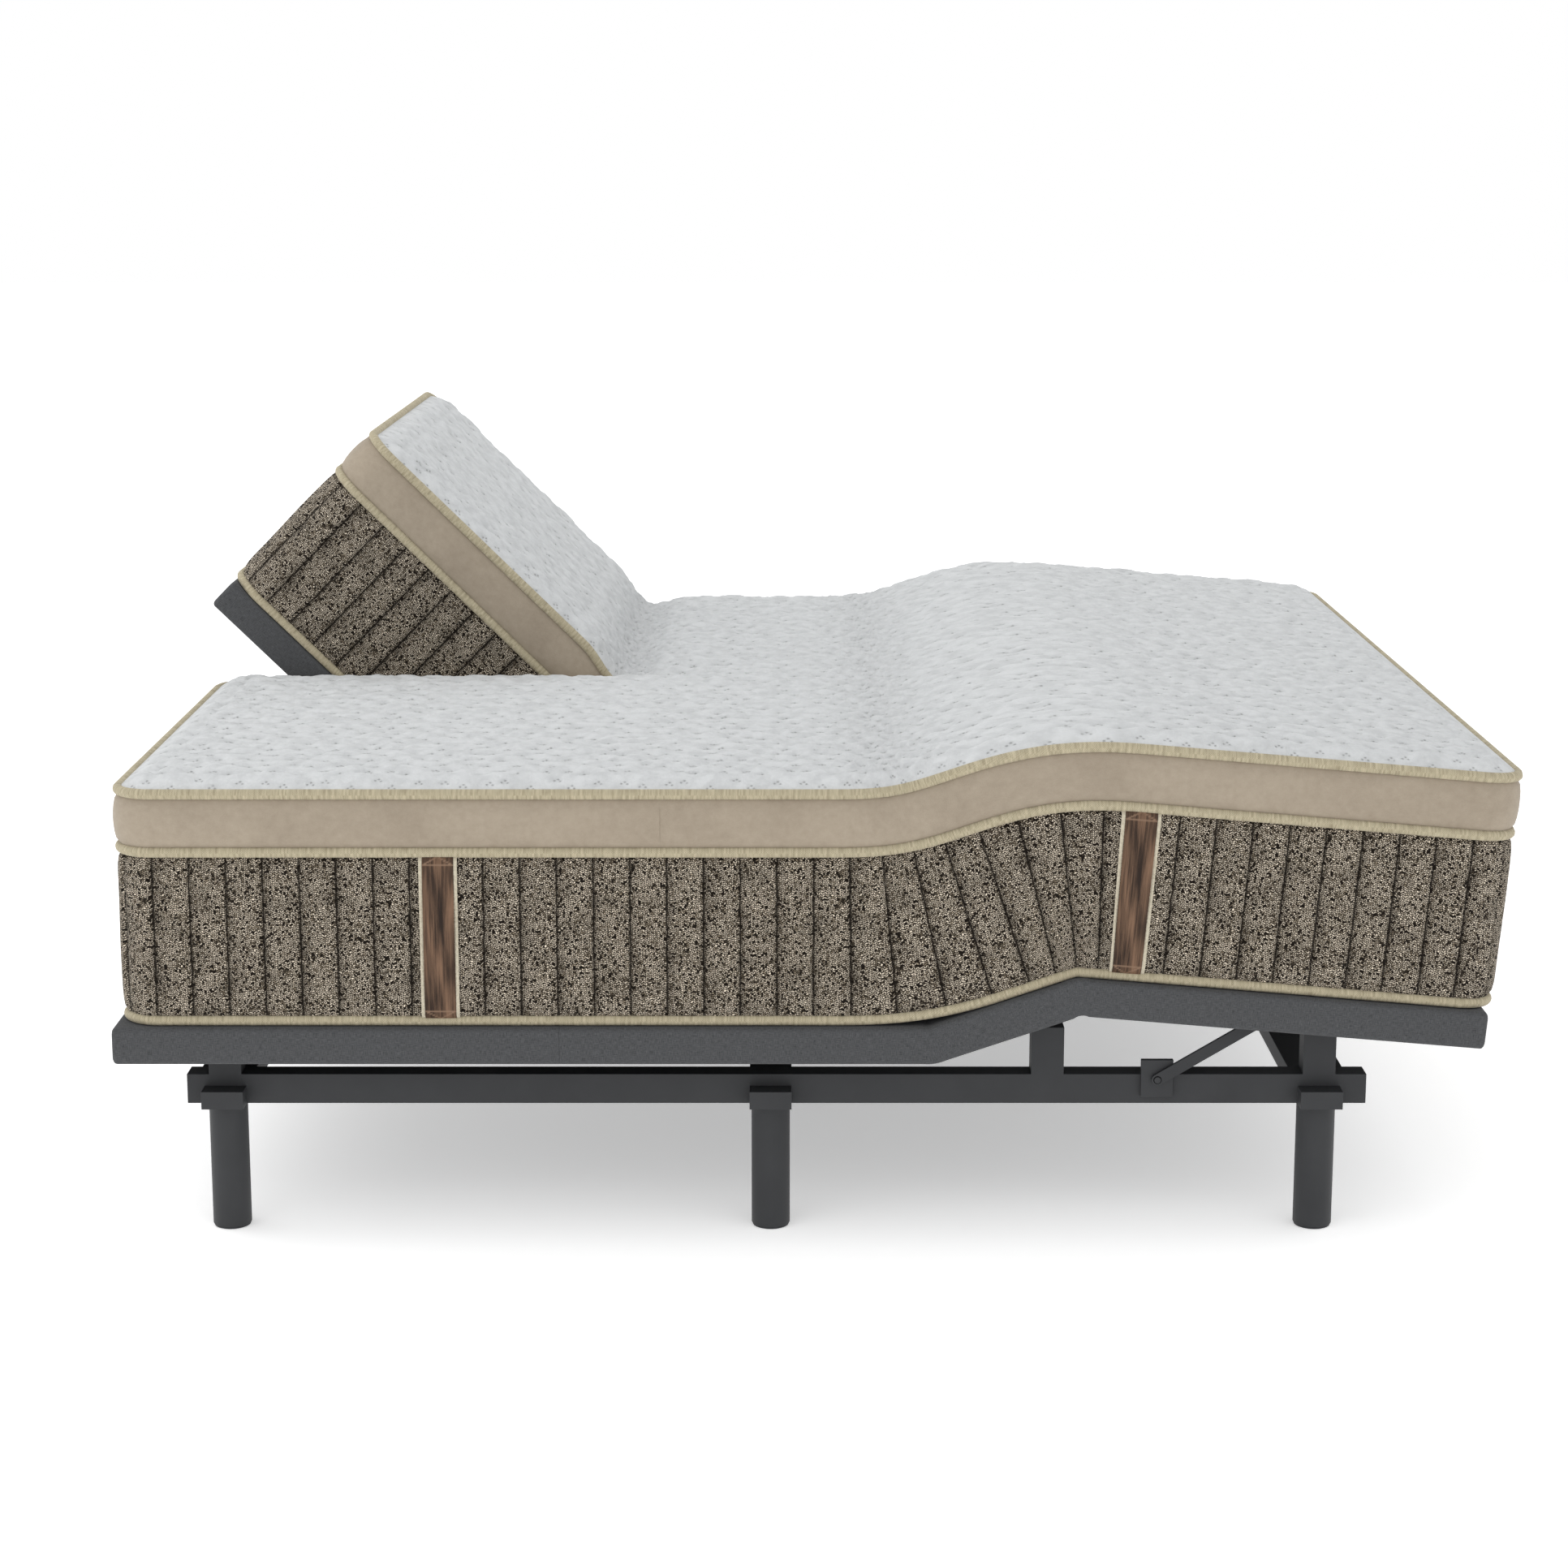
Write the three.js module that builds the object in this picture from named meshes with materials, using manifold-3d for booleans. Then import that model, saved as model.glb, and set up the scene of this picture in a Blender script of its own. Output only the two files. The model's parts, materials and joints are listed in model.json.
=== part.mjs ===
// Adjustable bed base with its split-top mattress. Millimetres, +Z up, head end at -X.
// The near side is -Y and the far side is +Y. Each panel is drawn as it lies when the bed
// is flat, and nested groups turn it to its resting angle.

import * as THREE from 'three';
import { mergeVertices } from 'three/addons/utils/BufferGeometryUtils.js';
import Module from 'manifold-3d';

const wasm = await Module();
wasm.setup();

// ---- Driving dimensions -------------------------------------------------------------

// Upholstered deck panels, measured along the flat bed.
const DECK_WIDTH = 1930;
const HEAD_LENGTH = 654.7;
const SEAT_LENGTH = 544;
const THIGH_LENGTH = 227;
const FOOT_LENGTH = 603;
const DECK_ABOVE_RAIL = 35.6;
const DECK_THICKNESS = 55;
const BOARD_THICKNESS = 17.6;
const SKIRT_THICKNESS = 16;
const SPLIT_GAP = 6;
const HEAD_JOINT_GAP = 2;

// Resting angles in degrees. A panel that lies flat is at 0.
const NEAR_HEAD_LIFT = 0;
const FAR_HEAD_LIFT = 44.6;
const THIGH_LIFT = 18.8;
const FOOT_FOLD = 23.58;
const HEAD_LIFT_LIMIT = 60;
const THIGH_LIFT_LIMIT = 35;
const FOOT_FOLD_LIMIT = 43.9;
const FOLD_RELIEF = 0.5;

// Each head panel turns about a line in the mattress, above the head-seat joint.
const HEAD_CENTRE_ABOVE_DECK = 223.4;
const HINGE_ROD_RADIUS = 2.5;
const HINGE_END_GAP = 4;

// Steel underframe.
const RAIL_WIDTH = 40;
const RAIL_HEIGHT = 45;
const RAIL_SIDE_INSET = 73;
const RAIL_HEAD_INSET = 94.7;
const RAIL_FOOT_INSET = 176;
const LEG_HEIGHT = 196;
const LEG_RADIUS = 28.75;
const LEG_WALL = 3;
const LEG_FOOT_THICKNESS = 8;
const LEG_FOOT_CHAMFER = 2;
const HEAD_LEG_INSET = 151.9;
const MIDDLE_LEG_FROM_SEAT = 310;
const FOOT_LEG_INSET = 246.7;
const LEG_BRACKET = { length: 62.4, reach: 32.6, height: 27 };
const POST_LENGTH = 48.5;
const KNEE_POST_FROM_KNEE = 48.65;
const POST_CLEARANCE = 1;
const BEAM_HEIGHT = 28;
const END_BEAM_LENGTH = 82;
const MIDDLE_BEAM_LENGTH = 62.6;
const WELD_GAP = 0.3;

// Curved head glides: a rail on each panel runs in a shoe on a fixed bearer.
const GLIDE_ABOVE_RAIL = 4;
const GLIDE_DEPTH = 24;
const GLIDE_THICKNESS = 8;
const GLIDE_START = -34;
const GLIDE_END = 33;
const GLIDE_WEB_END = 21;
const GLIDE_WEB_THICKNESS = 6;
const GLIDE_OUTER_INSET = 72;
const GLIDE_INNER_Y = 205;
const SHOE_ANGLE = -28;
const SHOE_HALF_ANGLE = 5;
const SHOE_WALL = 14;
const SHOE_BACK = 9;
const SHOE_CLEARANCE = 0.6;
const SHOE_TOP_GAP = 3;
const SHOE_SLOT_OVERRUN = 2;
const WEB_LAP = 0.1;
const BEARER_SIZE = 30;

// Head actuators, one under each half. They lie level, and each one's pin works in the
// window of a yoke that ties the half's two glide rails together.
const HEAD_ACTUATOR_FROM_GLIDE = 280;
const HEAD_ACTUATOR_ABOVE_RAIL = 21;
const HEAD_REAR_FROM_SEAT = 640;
const HEAD_PIN_FROM_SEAT = 130;
const HEAD_STROKE = 295;
const HEAD_TUBE_REACH = 435;
const HEAD_ROD_LENGTH = 405;
const YOKE_BAR = { from_seat: 88, above_pin: 6, size: 20 };
const YOKE_BORDER = { top: 6, bottom: 12, end: 12 };
const WINDOW_SAMPLES = 24;
const MOUNT_REACH = 20;
const SADDLE_WIDTH = 40;

// Knee actuator, on the centre line.
const KNEE_PIVOT_FROM_HIP = 414;
const KNEE_PIVOT_BELOW_RAIL = 57;
const KNEE_LEVER_DROP = 132;
const KNEE_LEVER_ROOT = { from_hip: 8, from_knee: 48 };
const KNEE_LEVER_HEEL = 24;
const KNEE_TUBE_REACH = 340;
const KNEE_ROD_LENGTH = 294;

// Parts shared by the actuators.
const ROD_RADIUS = 10;
const BORE_CLEARANCE = 0.8;
const TUBE_WALL = 4.2;
const GEARBOX = { start: 18, end: 96, width: 52, height: 44 };
const MOTOR = { radius: 25, length: 92, offset: 52 };
const EYE_RADIUS = 12;
const EYE_THICKNESS = 16;
const PIN_RADIUS = 5;
const PIN_CLEARANCE = 1;
const PIN_PROUD = 2;
const CROSS_PIN_EXTRA = 1;
const PLATE = 6;
const PLATE_CLEARANCE = 1;
const CHEEK_CLEARANCE = 2;

// Foot links outside the side rails.
const LINK_PIVOT_FROM_KNEE = 114;
const LINK_PIVOT_BELOW_RAIL = 5;
const LINK_LENGTH = 215;
const LINK_REST_ANGLE = 31;
const LINK_WIDTH = 17.5;
const LINK_THICKNESS = 6;
const LINK_PLATE = { length: 47.8, below: 28, above: 29, thickness: 8 };
const LINK_SLOT = { length: 36, height: 24, border: 7 };
const LINK_LUG_FROM_KNEE = 313.7;
const LINK_LUG_ABOVE_SKIRT = 21.4;

// Control box with its mains inlet.
const CONTROL_BOX = { length: 170, width: 110, height: 44, from_hip: 199 };
const INLET = { width: 27, height: 20, depth: 18 };

// Mattress.
const MATTRESS_SIDE_INSET = 13;
const MATTRESS_HEAD_INSET = 17;
const MATTRESS_FOOT_OVERHANG = 8;
const MATTRESS_THICKNESS = 367.8;
const MATTRESS_LIFT = 0.6;
const MATTRESS_SPLIT = 8;
const FOLD_NECK = 4;
const KNEE_NECK = 1.5;
const SOFT_GAP = 0.4;

// How far joined pieces run into each other, and how far a cut runs past a face.
const LAP = 1;

const ROUND_SIDES = 20;
const LEG_SIDES = 28;
const ARC_STEP = 6;

// ---- Places worked out from them ----------------------------------------------------

const SEAT_X = HEAD_LENGTH;
const HIP_X = SEAT_X + SEAT_LENGTH;
const KNEE_X = HIP_X + THIGH_LENGTH;
const FOOT_X = KNEE_X + FOOT_LENGTH;
const RAIL_TOP = LEG_HEIGHT + RAIL_HEIGHT;
const DECK_UNDERSIDE = RAIL_TOP + DECK_ABOVE_RAIL;
const DECK_TOP = DECK_UNDERSIDE + DECK_THICKNESS;
const BOARD_UNDERSIDE = DECK_TOP - BOARD_THICKNESS;
const HINGE_HEIGHT = DECK_TOP - BOARD_THICKNESS / 2;
const DECK_SIDE = DECK_WIDTH / 2;
const RAIL_OUTER_Y = DECK_SIDE - RAIL_SIDE_INSET;
const RAIL_INNER_Y = RAIL_OUTER_Y - RAIL_WIDTH;
const LEG_Y = RAIL_OUTER_Y - RAIL_WIDTH / 2;
const LEG_PLACES = {
  head: HEAD_LEG_INSET,
  middle: SEAT_X + MIDDLE_LEG_FROM_SEAT,
  foot: FOOT_X - FOOT_LEG_INSET,
};
const POST_PLACES = [LEG_PLACES.head, KNEE_X - KNEE_POST_FROM_KNEE, LEG_PLACES.foot];
const HEAD_CENTRE_HEIGHT = DECK_TOP + HEAD_CENTRE_ABOVE_DECK;
const HEAD_CENTRE = [SEAT_X, HEAD_CENTRE_HEIGHT];
const GLIDE_RADIUS = HEAD_CENTRE_HEIGHT - RAIL_TOP - GLIDE_ABOVE_RAIL;
const GLIDE_OUTER_Y = RAIL_INNER_Y - GLIDE_OUTER_INSET;
const HIP = [HIP_X, HINGE_HEIGHT];
const KNEE = [KNEE_X, HINGE_HEIGHT];
const MIDDLE_BEAM_X = LEG_PLACES.middle;
const TUBE_RADIUS = ROD_RADIUS + BORE_CLEARANCE + TUBE_WALL;
const CROSS_PIN_RADIUS = PIN_RADIUS + CROSS_PIN_EXTRA;
const CHEEK_INSIDE = ROD_RADIUS + CHEEK_CLEARANCE;
const CHEEK_OUTSIDE = CHEEK_INSIDE + PLATE;
const HEAD_ACTUATOR_Y = GLIDE_INNER_Y + HEAD_ACTUATOR_FROM_GLIDE;
const HEAD_ACTUATOR_HEIGHT = RAIL_TOP + HEAD_ACTUATOR_ABOVE_RAIL;
const HEAD_REAR = [SEAT_X + HEAD_REAR_FROM_SEAT, HEAD_ACTUATOR_HEIGHT];
const KNEE_PIVOT = [HIP_X - KNEE_PIVOT_FROM_HIP, RAIL_TOP - KNEE_PIVOT_BELOW_RAIL];
const KNEE_PUSH = [HIP_X, HINGE_HEIGHT - KNEE_LEVER_DROP];
const LINK_PIVOT = [KNEE_X + LINK_PIVOT_FROM_KNEE, RAIL_TOP - LINK_PIVOT_BELOW_RAIL];
const LINK_LUG = [KNEE_X + LINK_LUG_FROM_KNEE, DECK_UNDERSIDE + LINK_LUG_ABOVE_SKIRT];
const MATTRESS_BOTTOM = DECK_TOP + MATTRESS_LIFT;
const MATTRESS_TOP = MATTRESS_BOTTOM + MATTRESS_THICKNESS;
const MATTRESS_SIDE = DECK_SIDE - MATTRESS_SIDE_INSET;
const SIDES = [
  { name: 'near', sign: -1, lift: NEAR_HEAD_LIFT },
  { name: 'far', sign: 1, lift: FAR_HEAD_LIFT },
];

// ---- Finishes -----------------------------------------------------------------------

const LOOKS = {
  steel: { color: 0x414244, roughness: 0.55, metalness: 0.3 },
  bright_steel: { color: 0xb4b7ba, roughness: 0.3, metalness: 0.9 },
  plastic: { color: 0x26282a, roughness: 0.6, metalness: 0 },
  nylon: { color: 0xd9d8d2, roughness: 0.5, metalness: 0 },
  deck_fabric: { color: 0x535456, roughness: 0.95, metalness: 0 },
  mattress: { color: 0xd1d3d3, roughness: 0.95, metalness: 0 },
};

// ---- Geometry helpers ---------------------------------------------------------------

const radians = THREE.MathUtils.degToRad;

/** Merges shared corners and drops the triangles that collapse on an axis. */
function weld(geometry) {
  const bare = geometry.clone();
  bare.deleteAttribute('normal');
  bare.deleteAttribute('uv');
  const merged = mergeVertices(bare, 1e-4);
  const source = merged.index.array;
  const kept = [];
  for (let i = 0; i < source.length; i += 3) {
    const [a, b, c] = [source[i], source[i + 1], source[i + 2]];
    if (a !== b && b !== c && a !== c) kept.push(a, b, c);
  }
  merged.setIndex(kept);
  return merged;
}

function toManifold(geometry) {
  const welded = weld(geometry);
  return new wasm.Manifold(new wasm.Mesh({
    numProp: 3,
    vertProperties: Float32Array.from(welded.attributes.position.array),
    triVerts: Uint32Array.from(welded.index.array),
  }));
}

function toGeometry(manifold) {
  const { vertProperties, triVerts } = manifold.getMesh();
  const geometry = new THREE.BufferGeometry();
  geometry.setAttribute('position', new THREE.BufferAttribute(vertProperties, 3));
  geometry.setIndex(new THREE.BufferAttribute(triVerts, 1));
  geometry.computeVertexNormals();
  return geometry;
}

const join = (first, ...others) => toGeometry(
  others.reduce((whole, next) => whole.add(toManifold(next)), toManifold(first)),
);

const cut = (first, ...tools) => toGeometry(
  tools.reduce((whole, tool) => whole.subtract(toManifold(tool)), toManifold(first)),
);

/** A box between two corners. */
function box([x0, y0, z0], [x1, y1, z1]) {
  const geometry = new THREE.BoxGeometry(x1 - x0, Math.abs(y1 - y0), z1 - z0);
  return geometry.translate((x0 + x1) / 2, (y0 + y1) / 2, (z0 + z1) / 2);
}

/** An outline of [x, z] points, drawn anticlockwise seen from the near side, run across in Y. */
function prism(outline, y0, y1) {
  const shape = new THREE.Shape(outline.map(([x, z]) => new THREE.Vector2(x, z)));
  const options = { depth: Math.abs(y1 - y0), bevelEnabled: false };
  const geometry = new THREE.ExtrudeGeometry(shape, options);
  return geometry.rotateX(Math.PI / 2).translate(0, Math.max(y0, y1), 0);
}

/** A turned solid about the X axis, from [radius, x] points that start and end on the axis. */
function turned(profile, sides = ROUND_SIDES) {
  const points = profile.map(([radius, along]) => new THREE.Vector2(radius, along));
  return new THREE.LatheGeometry(points, sides).rotateZ(-Math.PI / 2);
}

/** A round bar across the bed, centred on an [x, z] point. */
function crossBar([x, z], radius, y0, y1) {
  const length = Math.abs(y1 - y0);
  return new THREE.CylinderGeometry(radius, radius, length, ROUND_SIDES)
    .translate(x, (y0 + y1) / 2, z);
}

/** Turns an [x, z] point about a centre. A positive angle raises what lies towards -X. */
function turnPoint([x, z], [cx, cz], degrees) {
  const angle = radians(degrees);
  const [dx, dz] = [x - cx, z - cz];
  return [
    cx + dx * Math.cos(angle) + dz * Math.sin(angle),
    cz - dx * Math.sin(angle) + dz * Math.cos(angle),
  ];
}

/** A group whose children are drawn flat and turn together about a centre. */
function turnedGroup(parent, [x, z], degrees) {
  const outer = new THREE.Group();
  outer.position.set(x, 0, z);
  outer.rotation.y = radians(degrees);
  const inner = new THREE.Group();
  inner.position.set(-x, 0, -z);
  outer.add(inner);
  parent.add(outer);
  return inner;
}

function add(parent, name, geometry, look) {
  const mesh = new THREE.Mesh(weld(geometry), new THREE.MeshStandardMaterial(LOOKS[look]));
  mesh.name = name;
  parent.add(mesh);
}

/** Points of an arc about the head's centre, by angle from straight down, positive to +X. */
function glideArc(radius, from, to) {
  const steps = Math.ceil(Math.abs(to - from) / ARC_STEP);
  return Array.from({ length: steps + 1 }, (_, i) => {
    const angle = radians(from + (to - from) * i / steps);
    return [
      HEAD_CENTRE[0] + radius * Math.sin(angle),
      HEAD_CENTRE[1] - radius * Math.cos(angle),
    ];
  });
}

const glideSector = (inner, outer, from, to) => [
  ...glideArc(outer, from, to),
  ...glideArc(inner, to, from),
];

// ---- Underframe ---------------------------------------------------------------------

function sideRail(sign) {
  const inner = sign * RAIL_INNER_Y;
  const outer = sign * RAIL_OUTER_Y;
  const [from, to] = [RAIL_HEAD_INSET, FOOT_X - RAIL_FOOT_INSET];
  const rail = box([from, inner, LEG_HEIGHT], [to, outer, RAIL_TOP]);
  const posts = POST_PLACES.map((x) => box(
    [x - POST_LENGTH / 2, inner, RAIL_TOP - LAP],
    [x + POST_LENGTH / 2, outer, BOARD_UNDERSIDE - POST_CLEARANCE],
  ));
  const bracket_y = outer + sign * LEG_BRACKET.reach;
  const brackets = Object.values(LEG_PLACES).map((x) => box(
    [x - LEG_BRACKET.length / 2, outer - sign * LAP, LEG_HEIGHT],
    [x + LEG_BRACKET.length / 2, bracket_y, LEG_HEIGHT + LEG_BRACKET.height],
  ));
  const pin_end = outer + sign * (LINK_PLATE.thickness + LINK_THICKNESS + PIN_PROUD);
  const pin = crossBar(LINK_PIVOT, PIN_RADIUS, outer, pin_end);
  return join(rail, ...posts, ...brackets, linkPlate(sign, outer), pin);
}

function linkPlate(sign, outer) {
  const [x, z] = LINK_PIVOT;
  return box(
    [x - LINK_PLATE.length / 2, outer - sign * LAP, z - LINK_PLATE.below],
    [x + LINK_PLATE.length / 2, outer + sign * LINK_PLATE.thickness, z + LINK_PLATE.above],
  );
}

function crossbeam(x, length) {
  const y = RAIL_INNER_Y - WELD_GAP;
  return box([x - length / 2, -y, RAIL_TOP - BEAM_HEIGHT], [x + length / 2, y, RAIL_TOP]);
}

/** A tube leg, open at the top under the rail, with a chamfered foot. */
function leg() {
  const inside = LEG_RADIUS - LEG_WALL;
  const top = LEG_HEIGHT - WELD_GAP;
  const profile = [
    [0, 0],
    [LEG_RADIUS - LEG_FOOT_CHAMFER, 0],
    [LEG_RADIUS, LEG_FOOT_CHAMFER],
    [LEG_RADIUS, top],
    [inside, top],
    [inside, LEG_FOOT_THICKNESS],
    [0, LEG_FOOT_THICKNESS],
  ];
  return turned(profile, LEG_SIDES).rotateY(-Math.PI / 2);
}

/** Two ears and a pin that hold an actuator's rear eye, reaching from x0 to x1 and z0 to z1. */
function clevis([x, z], y, [x0, z0], [x1, z1]) {
  const inside = EYE_THICKNESS / 2 + PLATE_CLEARANCE;
  const outside = inside + PLATE;
  const ears = [-1, 1].map((side) => box(
    [x0, y + side * inside, z0],
    [x1, y + side * outside, z1],
  ));
  return [...ears, crossBar([x, z], PIN_RADIUS, y - outside, y + outside)];
}

/** The middle crossbeam, with a saddle under each head actuator's tube. */
function middleCrossbeam() {
  const half = MIDDLE_BEAM_LENGTH / 2;
  const top = HEAD_ACTUATOR_HEIGHT - TUBE_RADIUS - WELD_GAP;
  const saddles = SIDES.map(({ sign }) => box(
    [MIDDLE_BEAM_X - half, sign * HEAD_ACTUATOR_Y - SADDLE_WIDTH / 2, RAIL_TOP - LAP],
    [MIDDLE_BEAM_X + half, sign * HEAD_ACTUATOR_Y + SADDLE_WIDTH / 2, top],
  ));
  return join(crossbeam(MIDDLE_BEAM_X, MIDDLE_BEAM_LENGTH), ...saddles);
}

/** The arm out from the inner bearer that holds a head actuator's rear eye. */
function actuatorMount(sign) {
  const [x, z] = HEAD_REAR;
  const y = sign * HEAD_ACTUATOR_Y;
  const start = sign * (bearerPlace(GLIDE_INNER_Y, -1)[1] + WELD_GAP);
  const low = RAIL_TOP + WELD_GAP;
  const face = x + EYE_RADIUS + PIN_CLEARANCE;
  const end = y + sign * MOUNT_REACH;
  const arm = box([face, start, low], [face + BEARER_SIZE, end, low + BEARER_SIZE]);
  const ears = clevis(HEAD_REAR, y, [x - EYE_RADIUS, z - EYE_RADIUS], [face + LAP, z + EYE_RADIUS]);
  return join(arm, ...ears);
}

/** The bar between the inner bearers that carries the knee actuator's rear clevis. */
function kneeHanger() {
  const [x, z] = KNEE_PIVOT;
  const y = bearerPlace(GLIDE_INNER_Y, -1)[0] - WELD_GAP;
  const low = RAIL_TOP + WELD_GAP;
  const bar = box([x - BEARER_SIZE / 2, -y, low], [x + BEARER_SIZE / 2, y, low + BEARER_SIZE]);
  const ears = clevis(KNEE_PIVOT, 0, [x - EYE_RADIUS, z - EYE_RADIUS], [x + EYE_RADIUS, low + LAP]);
  return join(bar, ...ears);
}

/** A bearer's near and far faces in Y, for a glide at y whose shoe backs on to it. */
function bearerPlace(y, backing) {
  const face = y + backing * (GLIDE_THICKNESS / 2 + SHOE_CLEARANCE + SHOE_BACK + WELD_GAP);
  const other = face + backing * BEARER_SIZE;
  return [Math.min(face, other), Math.max(face, other)];
}

/** A bearer from the head crossbeam back to x. */
function glideBearer(sign, y, backing, x) {
  const [y0, y1] = bearerPlace(y, backing);
  const low = RAIL_TOP + WELD_GAP;
  return box(
    [LEG_PLACES.head - END_BEAM_LENGTH / 2, sign * y0, low],
    [x, sign * y1, low + BEARER_SIZE],
  );
}

/** A nylon block on the bearer's side, with a curved slot open to the glide's web side. */
function glideShoe(sign, y, backing) {
  const half = GLIDE_DEPTH / 2 + SHOE_CLEARANCE;
  const [from, to] = [SHOE_ANGLE - SHOE_HALF_ANGLE, SHOE_ANGLE + SHOE_HALF_ANGLE];
  const [inner, outer] = [GLIDE_RADIUS - half, GLIDE_RADIUS + half];
  const block = glideSector(inner - SHOE_WALL, outer + SHOE_WALL, from, to);
  const slot = glideSector(inner, outer, from - SHOE_SLOT_OVERRUN, to + SHOE_SLOT_OVERRUN);
  const side = GLIDE_THICKNESS / 2 + SHOE_CLEARANCE;
  const mouth = y - backing * (GLIDE_THICKNESS / 2 - SHOE_CLEARANCE);
  const back = y + backing * (side + SHOE_BACK);
  const ceiling = BOARD_UNDERSIDE - SHOE_TOP_GAP;
  const above = box(
    [0, sign * y - BEARER_SIZE, ceiling],
    [SEAT_X, sign * y + BEARER_SIZE, ceiling + GLIDE_DEPTH + SHOE_WALL],
  );
  return cut(
    prism(block, sign * back, sign * mouth),
    prism(slot, sign * (y + backing * side), sign * (mouth - backing * LAP)),
    above,
  );
}

/** A curved rail with a web plate that reaches up to the head board. */
function glideRail(sign, y, backing) {
  const half = GLIDE_DEPTH / 2;
  const band = glideSector(GLIDE_RADIUS - half, GLIDE_RADIUS + half, GLIDE_START, GLIDE_END);
  const lower = glideArc(GLIDE_RADIUS + half / 2, GLIDE_START, GLIDE_WEB_END);
  const top = BOARD_UNDERSIDE - WELD_GAP;
  const web = [...lower, [lower.at(-1)[0], top], [lower[0][0] - half, top]];
  const [inside, outside] = webPlace(y, backing);
  return join(
    prism(band, sign * (y - GLIDE_THICKNESS / 2), sign * (y + GLIDE_THICKNESS / 2)),
    prism(web, sign * inside, sign * outside),
  );
}

/** The web plate's two faces in Y: the one that laps the rail and the one away from it. */
function webPlace(y, backing) {
  const edge = y - backing * GLIDE_THICKNESS / 2;
  return [edge + backing * WEB_LAP, edge - backing * GLIDE_WEB_THICKNESS];
}

/** Where the actuator's pin is at a lift, seen from the head panel lying flat. */
function pinOnHead(lift) {
  const travel = HEAD_STROKE * lift / HEAD_LIFT_LIMIT;
  return turnPoint([SEAT_X + HEAD_PIN_FROM_SEAT - travel, HEAD_ACTUATOR_HEIGHT], HEAD_CENTRE, -lift);
}

/** A tie bar between two glide rails, with a pair of cheeks whose window takes the pin. */
function driveYoke(sign) {
  const lifts = Array.from({ length: WINDOW_SAMPLES + 1 }, (_, i) => i / WINDOW_SAMPLES);
  const path = lifts.map((share) => pinOnHead(HEAD_LIFT_LIMIT * share));
  const room = CROSS_PIN_RADIUS + PIN_CLEARANCE;
  const [x0, z0] = [0, 1].map((axis) => Math.min(...path.map((point) => point[axis])) - room);
  const [x1, z1] = [0, 1].map((axis) => Math.max(...path.map((point) => point[axis])) + room);
  const y = sign * HEAD_ACTUATOR_Y;
  const bar_x = SEAT_X + YOKE_BAR.from_seat;
  const bar_z = HEAD_ACTUATOR_HEIGHT + YOKE_BAR.above_pin;
  const half = YOKE_BAR.size / 2;
  const inner_end = webPlace(GLIDE_INNER_Y, -1)[1] + WELD_GAP;
  const outer_end = webPlace(GLIDE_OUTER_Y, 1)[1] - WELD_GAP;
  const bar = box(
    [bar_x - half, sign * inner_end, bar_z - half],
    [bar_x + half, sign * outer_end, bar_z + half],
  );
  const cheeks = [-1, 1].map((side) => box(
    [bar_x, y + side * CHEEK_INSIDE, z0 - YOKE_BORDER.bottom],
    [x1 + YOKE_BORDER.end, y + side * CHEEK_OUTSIDE, z1 + YOKE_BORDER.top],
  ));
  const reach = CHEEK_OUTSIDE + LAP;
  return cut(join(bar, ...cheeks), box([x0, y - reach, z0], [x1, y + reach, z1]));
}

/** The control box under the seat board, with a mains inlet pocket in its far face. */
function controlBox() {
  const x = HIP_X - CONTROL_BOX.from_hip;
  const half = CONTROL_BOX.width / 2;
  const top = BOARD_UNDERSIDE - WELD_GAP;
  const middle = top - CONTROL_BOX.height / 2;
  const inlet_x = x + CONTROL_BOX.length / 2;
  return cut(
    box([x, -half, top - CONTROL_BOX.height], [x + CONTROL_BOX.length, half, top]),
    box(
      [inlet_x - INLET.width / 2, half - INLET.depth, middle - INLET.height / 2],
      [inlet_x + INLET.width / 2, half + LAP, middle + INLET.height / 2],
    ),
  );
}

// ---- Deck panels --------------------------------------------------------------------

/** A side skirt outline between two x places, leaning back below the hinge where it folds. */
function skirtOutline(from, to, lean_from = 0, lean_to = 0) {
  const drop = HINGE_HEIGHT - DECK_UNDERSIDE;
  const back = (degrees) => drop * Math.tan(radians(degrees));
  return [
    [from + back(lean_from), DECK_UNDERSIDE],
    [to - back(lean_to), DECK_UNDERSIDE],
    [to, HINGE_HEIGHT],
    [to, DECK_TOP],
    [from, DECK_TOP],
    [from, HINGE_HEIGHT],
  ];
}

/** A board with a skirt on each long side and, where asked, across one end. */
function deckPanel(outline, y0, y1, end_skirt = null) {
  const xs = outline.map(([x]) => x);
  const [from, to] = [Math.min(...xs), Math.max(...xs)];
  const pieces = [
    prism(outline, y0, y0 + SKIRT_THICKNESS),
    prism(outline, y1 - SKIRT_THICKNESS, y1),
  ];
  if (end_skirt === 'head') {
    pieces.push(box([from, y0, DECK_UNDERSIDE], [from + SKIRT_THICKNESS, y1, DECK_TOP]));
  }
  if (end_skirt === 'foot') {
    pieces.push(box([to - SKIRT_THICKNESS, y0, DECK_UNDERSIDE], [to, y1, DECK_TOP]));
  }
  return join(box([from, y0, BOARD_UNDERSIDE], [to, y1, DECK_TOP]), ...pieces);
}

function headDeck(sign) {
  const outline = skirtOutline(0, SEAT_X - HEAD_JOINT_GAP / 2);
  const edges = [sign * SPLIT_GAP / 2, sign * DECK_SIDE];
  return deckPanel(outline, Math.min(...edges), Math.max(...edges), 'head');
}

function seatDeck() {
  const outline = skirtOutline(SEAT_X + HEAD_JOINT_GAP / 2, HIP_X - HINGE_END_GAP);
  return deckPanel(outline, -DECK_SIDE, DECK_SIDE);
}

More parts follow.
